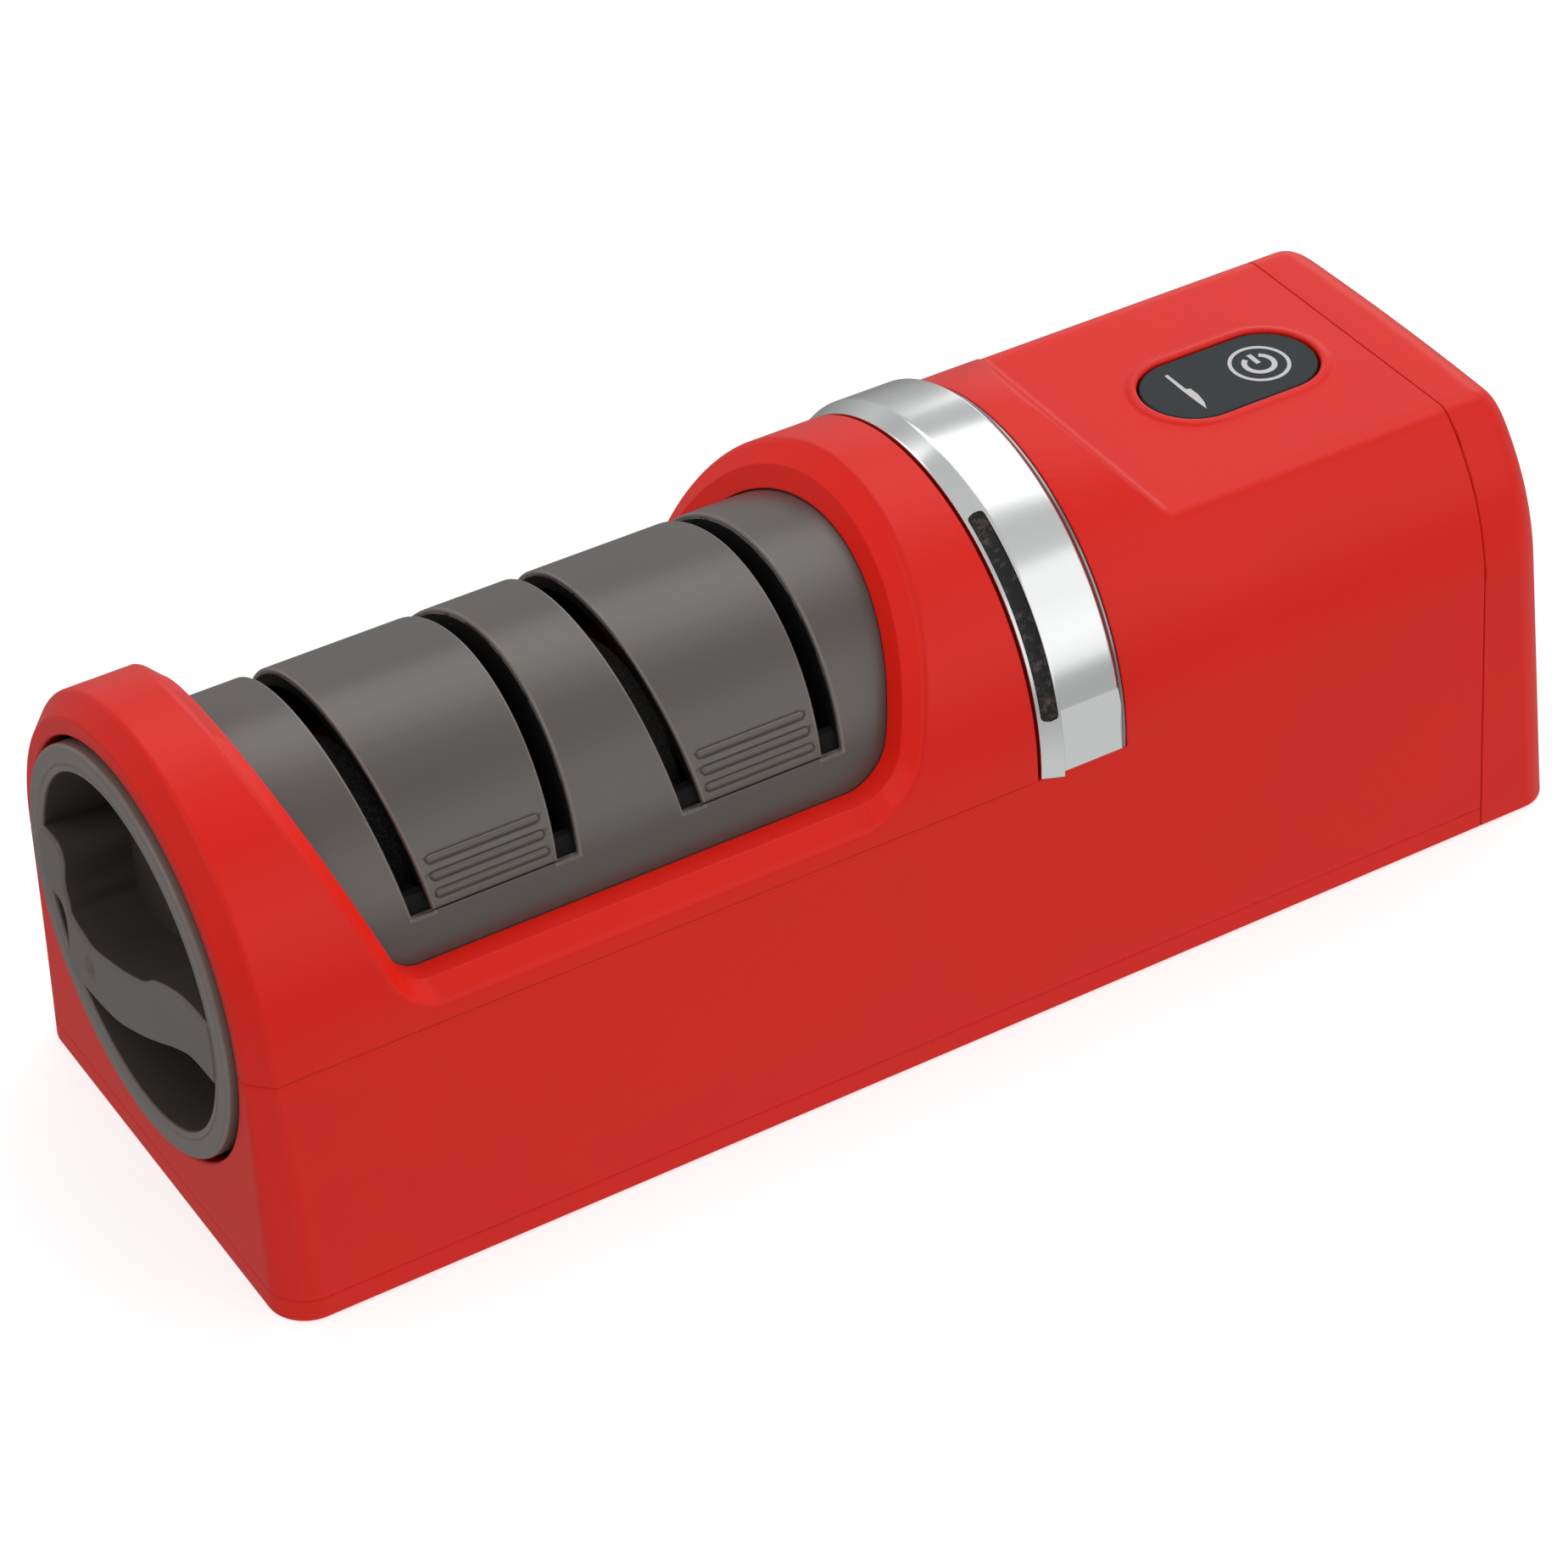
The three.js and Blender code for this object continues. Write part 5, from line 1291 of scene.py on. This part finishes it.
class SHARPENER_OT_button(bpy.types.Operator):
    """Build the power button with its printed marks"""

    bl_idname = "sharpener.button"
    bl_label = "Power button"

    def execute(self, context):
        settings = context.scene.sharpener_button
        edge = mm(settings.edge)
        top = DECK_Z + mm(settings.proud)
        turn = [(-edge * (1 - math.cos(t)), top - edge * (1 - math.sin(t))) for t in spread(0, math.pi / 2, 5)]
        button = workpiece(obround_levels([(0, DECK_Z - 1.6), *turn, (-edge - 2.5, top)]), "button")
        core = frame_copy("power_button", "button_core")
        carve(core, workpiece(block(EVERY, WIDE, (40, DECK_Z - 1.1)), "lower"), "INTERSECT")
        carve(button, core, "UNION")
        settle(button, "button_cap", button_finish().material, "button", ["power_button"])

        height = mm(settings.mark_height)
        marks = bmesh.new()
        switch = Vector((along(BUTTON_X + 4.9), 0, top))
        self.arc(marks, switch, 3.64, 4.16, 0, math.tau, height)
        self.arc(marks, switch, 1.62, 2.36, math.radians(122), math.radians(418), height)
        self.bar(marks, switch + Vector((0, 1.3, 0)), 0.7, 2.3, height)
        self.blade(marks, Vector((along(BUTTON_X - 6.9), 0, top)), height)
        marks = workpiece(marks, "marks")
        settle(marks, "button_marks", mark_finish().material, "button")
        return {"FINISHED"}

    def raise_faces(self, bm, faces, height):
        """Gives flat faces a thickness."""
        made = bmesh.ops.extrude_face_region(bm, geom=faces)["geom"]
        verts = [item for item in made if isinstance(item, bmesh.types.BMVert)]
        bmesh.ops.translate(bm, verts=verts, vec=Vector((0, 0, height)))
        bmesh.ops.recalc_face_normals(bm, faces=bm.faces)

    def arc(self, bm, centre, inner, outer, start, end, height):
        """A flat ring or part of one, as a thin raised line."""
        radial = []
        for radius in (inner, outer):
            spot = centre + Vector((radius * math.cos(start), radius * math.sin(start), 0))
            radial += bmesh.ops.create_vert(bm, co=spot)["vert"]
        edge = bmesh.ops.contextual_create(bm, geom=radial)["edges"]
        bmesh.ops.spin(
            bm, geom=radial + edge, cent=centre, axis=Vector((0, 0, 1)), angle=end - start, steps=72,
            use_merge=abs(end - start - math.tau) < 1e-6, use_duplicate=False,
        )
        bmesh.ops.remove_doubles(bm, verts=bm.verts, dist=1e-5)

        def on_circles(vert):
            reach = (vert.co - centre).length
            return min(abs(reach - inner), abs(reach - outer)) < 1e-3

        self.raise_faces(bm, [face for face in bm.faces if all(map(on_circles, face.verts))], height)

    def bar(self, bm, centre, width, length, height):
        """A straight raised line."""
        made = bmesh.ops.create_grid(bm, x_segments=1, y_segments=1, size=0.5)["verts"]
        bmesh.ops.scale(bm, verts=made, vec=Vector((width, length, 1)))
        bmesh.ops.translate(bm, verts=made, vec=centre)
        self.raise_faces(bm, list({face for vert in made for face in vert.link_faces}), height)

    def blade(self, bm, spot, height):
        """A plain pictogram of a blade with its handle."""
        outline = [
            (-0.22, 4.4), (0.24, 4.4), (0.3, 0.3), (0.85, 0.1), (0.9, -1.6), (0.55, -3.4), (-0.1, -4.9), (-0.2, -3.0),
            (-0.3, 0.2),
        ]
        ring = draw_ring(bm, [spot + Vector((x, y, 0)) for x, y in outline])
        self.raise_faces(bm, fill_ring(bm, ring), height)


class SHARPENER_OT_finishes(bpy.types.Operator):
    """Give every frame node that stays in sight its own procedural finish"""

    bl_idname = "sharpener.finishes"
    bl_label = "Inner finishes"

    def execute(self, context):
        steel = (0.62, 0.63, 0.65)
        finishes = {
            "rubber_foot": rubber_finish(),
            "knob_socket": plastic_finish("dark_moulding", (0.020, 0.020, 0.022)),
            "chassis": plastic_finish("dark_chassis", (0.024, 0.024, 0.027), 0.55),
            "tact_switch": plastic_finish("switch_black", (0.02, 0.02, 0.022)),
            "coarse_hub": plastic_finish("hub_grey", (0.06, 0.06, 0.065)),
            "fine_hub": plastic_finish("hub_black", (0.03, 0.03, 0.032)),
            "shaft_coupling": plastic_finish("coupling_blue", (0.03, 0.05, 0.09)),
            "coarse_wheel": grit_finish("coarse_grit", (0.022, 0.021, 0.020), (0.11, 0.11, 0.11), 2600),
            "fine_wheel": grit_finish("fine_grit", (0.06, 0.057, 0.052), (0.20, 0.19, 0.18), 5200),
            "battery_cell": sleeve_finish(),
            "control_board": board_finish(),
            "filings_tray": steel_finish("rolled_tray", tone(steel, 0.9), 0.34, (1, 0.05, 1)),
            "motor_bracket": steel_finish("bracket_plate", tone(steel, 0.85), 0.36, (1, 1, 0.05)),
            "motor_shaft": steel_finish("ground_shaft", steel, 0.22, (1, 0.1, 0.1)),
            "drive_shaft": steel_finish("ground_steel", steel, 0.22, (1, 0.1, 0.1)),
            "motor": steel_finish("motor_can", tone(steel, 0.8), 0.3, (0.05, 1, 1)),
            "": steel_finish("screw_steel", tone(steel, 0.8), 0.3, (1, 1, 1)),
        }
        for name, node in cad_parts.items():
            if node.hide_render:
                continue
            kind = next(start for start in sorted(finishes, key=len, reverse=True) if name.startswith(start))
            node.data.materials.clear()
            node.data.materials.append(finishes[kind].material)
        return {"FINISHED"}


# The camera's place and the rows of its rotation, as solved from the photograph's perspective.
CAMERA_PLACE = (-0.26944, -0.447032, 0.425295)
CAMERA_TURN = (
    (0.851165, 0.3355929, -0.4036032),
    (-0.5244782, 0.513, -0.6795246),
    (-0.0209952, 0.7900686, 0.6126587),
)


class SHARPENER_OT_stage(bpy.types.Operator):
    """Set the pale floor, the soft studio light and the camera"""

    bl_idname = "sharpener.stage"
    bl_label = "Stage"

    def execute(self, context):
        scene = context.scene
        settings = scene.sharpener_stage
        scene.view_settings.view_transform = "Standard"
        bm = bmesh.new()
        bmesh.ops.create_grid(bm, x_segments=1, y_segments=1, size=settings.floor_size)
        floor = workpiece(bm, "studio_floor")
        finish = Finish("pale_floor", (0.5, 0.5, 0.5), 0.9, specular=0.1)
        finish.set("Emission Color", (1, 1, 1, 1))
        finish.set("Emission Strength", 0.68)
        finish.set("Base Color", finish.blend(finish.grain(3, 2), (0.49, 0.49, 0.49), (0.52, 0.52, 0.52)))
        floor.data.materials.append(finish.material)
        floor.visible_glossy = False
        floor.visible_diffuse = False

        self.surround(scene, settings.world)
        self.light(scene, "top_softbox", (0.40, 0.36, 0.84), (1.0, 0.46), settings.top_light)
        self.light(scene, "front_softbox", (0.40, -0.80, 0.47), (1.0, 0.7), settings.front_light)
        self.light(scene, "left_softbox", (-0.62, -0.15, 0.75), (0.62, 0.62), settings.left_light)
        self.light(scene, "rim_softbox", (0.70, 0.66, 0.27), (0.5, 0.3), settings.rim_light)

        data = bpy.data.cameras.new("photo_camera")
        data.lens = settings.lens
        data.sensor_width = 36
        data.clip_start, data.clip_end = 0.01, 20
        camera = bpy.data.objects.new("photo_camera", data)
        camera.matrix_world = Matrix.Translation(CAMERA_PLACE) @ Matrix(CAMERA_TURN).to_4x4()
        scene.collection.objects.link(camera)
        scene.camera = camera
        return {"FINISHED"}

    def surround(self, scene, strength):
        """A pale surround in bands, as a studio's cards reflect in the casing and the chrome. The camera sees white."""
        world = bpy.data.worlds.new("surround")
        scene.world = world
        world.use_nodes = True
        tree = world.node_tree
        background = tree.nodes["Background"]
        background.inputs["Strength"].default_value = strength
        ray = Term(tree, tree.nodes.new("ShaderNodeLightPath").outputs["Is Camera Ray"])
        sky = tree.nodes.new("ShaderNodeTexCoord")
        split = tree.nodes.new("ShaderNodeSeparateXYZ")
        tree.links.new(sky.outputs["Generated"], split.inputs[0])
        height, back = Term(tree, split.outputs["Z"]), Term(tree, split.outputs["Y"])
        ramp = tree.nodes.new("ShaderNodeValToRGB")
        stops = ramp.color_ramp.elements
        shades = [
            (0, 0.8), (1, 0.78), (0.25, 0.85), (0.45, 0.55), (0.53, 0.55), (0.66, 0.8), (0.8, 0.58), (0.9, 0.8),
            (0.95, 0.66),
        ]
        for i, (place, shade) in enumerate(shades):
            stop = stops[i] if place in (0, 1) else stops.new(place)
            stop.color = (shade, shade, shade, 1)
        feed(tree, ramp.inputs["Fac"], height * 0.5 + 0.5)
        below = (height * -3).clamped() * (back + 0.5).clamped()
        shade = Term(tree, ramp.outputs["Color"]) * (1 - below * 0.6)
        mix = tree.nodes.new("ShaderNodeMix")
        mix.data_type = "RGBA"
        feed(tree, mix.inputs[0], ray)
        feed(tree, mix.inputs[6], shade)
        mix.inputs[7].default_value = (1.25, 1.25, 1.25, 1)
        tree.links.new(mix.outputs[2], background.inputs["Color"])

    def light(self, scene, name, direction, size, power, distance=0.9, aim=Vector((0, 0, 0.035))):
        """A rectangular soft light in this direction from the middle of the part."""
        data = bpy.data.lights.new(name, "AREA")
        data.shape = "RECTANGLE"
        data.size, data.size_y = size
        data.energy = power
        lamp = bpy.data.objects.new(name, data)
        way = Vector(direction).normalized()
        lamp.location = way * distance + aim
        lamp.rotation_mode = "QUATERNION"
        lamp.rotation_quaternion = way.to_track_quat("Z", "Y")
        scene.collection.objects.link(lamp)


OPERATORS = [
    SHARPENER_OT_casing,
    SHARPENER_OT_band,
    SHARPENER_OT_guide,
    SHARPENER_OT_knob,
    SHARPENER_OT_button,
    SHARPENER_OT_finishes,
    SHARPENER_OT_stage,
]


class SHARPENER_PT_panel(bpy.types.Panel):
    """Lists the sharpener's pieces and their settings"""

    bl_idname = "SHARPENER_PT_panel"
    bl_label = "Knife sharpener"
    bl_space_type = "VIEW_3D"
    bl_region_type = "UI"
    bl_category = "Sharpener"

    def draw(self, context):
        for name, group in GROUPS.items():
            box = self.layout.box()
            for key in group.__annotations__:
                box.prop(getattr(context.scene, name), key)
        for operator in OPERATORS:
            self.layout.operator(operator.bl_idname)


def register():
    for name, group in GROUPS.items():
        bpy.utils.register_class(group)
        setattr(bpy.types.Scene, name, PointerProperty(type=group))
    for item in (*OPERATORS, SHARPENER_PT_panel):
        bpy.utils.register_class(item)


def unregister():
    for item in (SHARPENER_PT_panel, *reversed(OPERATORS)):
        bpy.utils.unregister_class(item)
    for name, group in reversed(GROUPS.items()):
        delattr(bpy.types.Scene, name)
        bpy.utils.unregister_class(group)


def main():
    register()
    bpy.ops.sharpener.stage()
    bpy.ops.sharpener.casing()
    bpy.ops.sharpener.band()
    bpy.ops.sharpener.guide()
    bpy.ops.sharpener.knob()
    bpy.ops.sharpener.button()
    bpy.ops.sharpener.finishes()


if __name__ == "__main__":
    main()
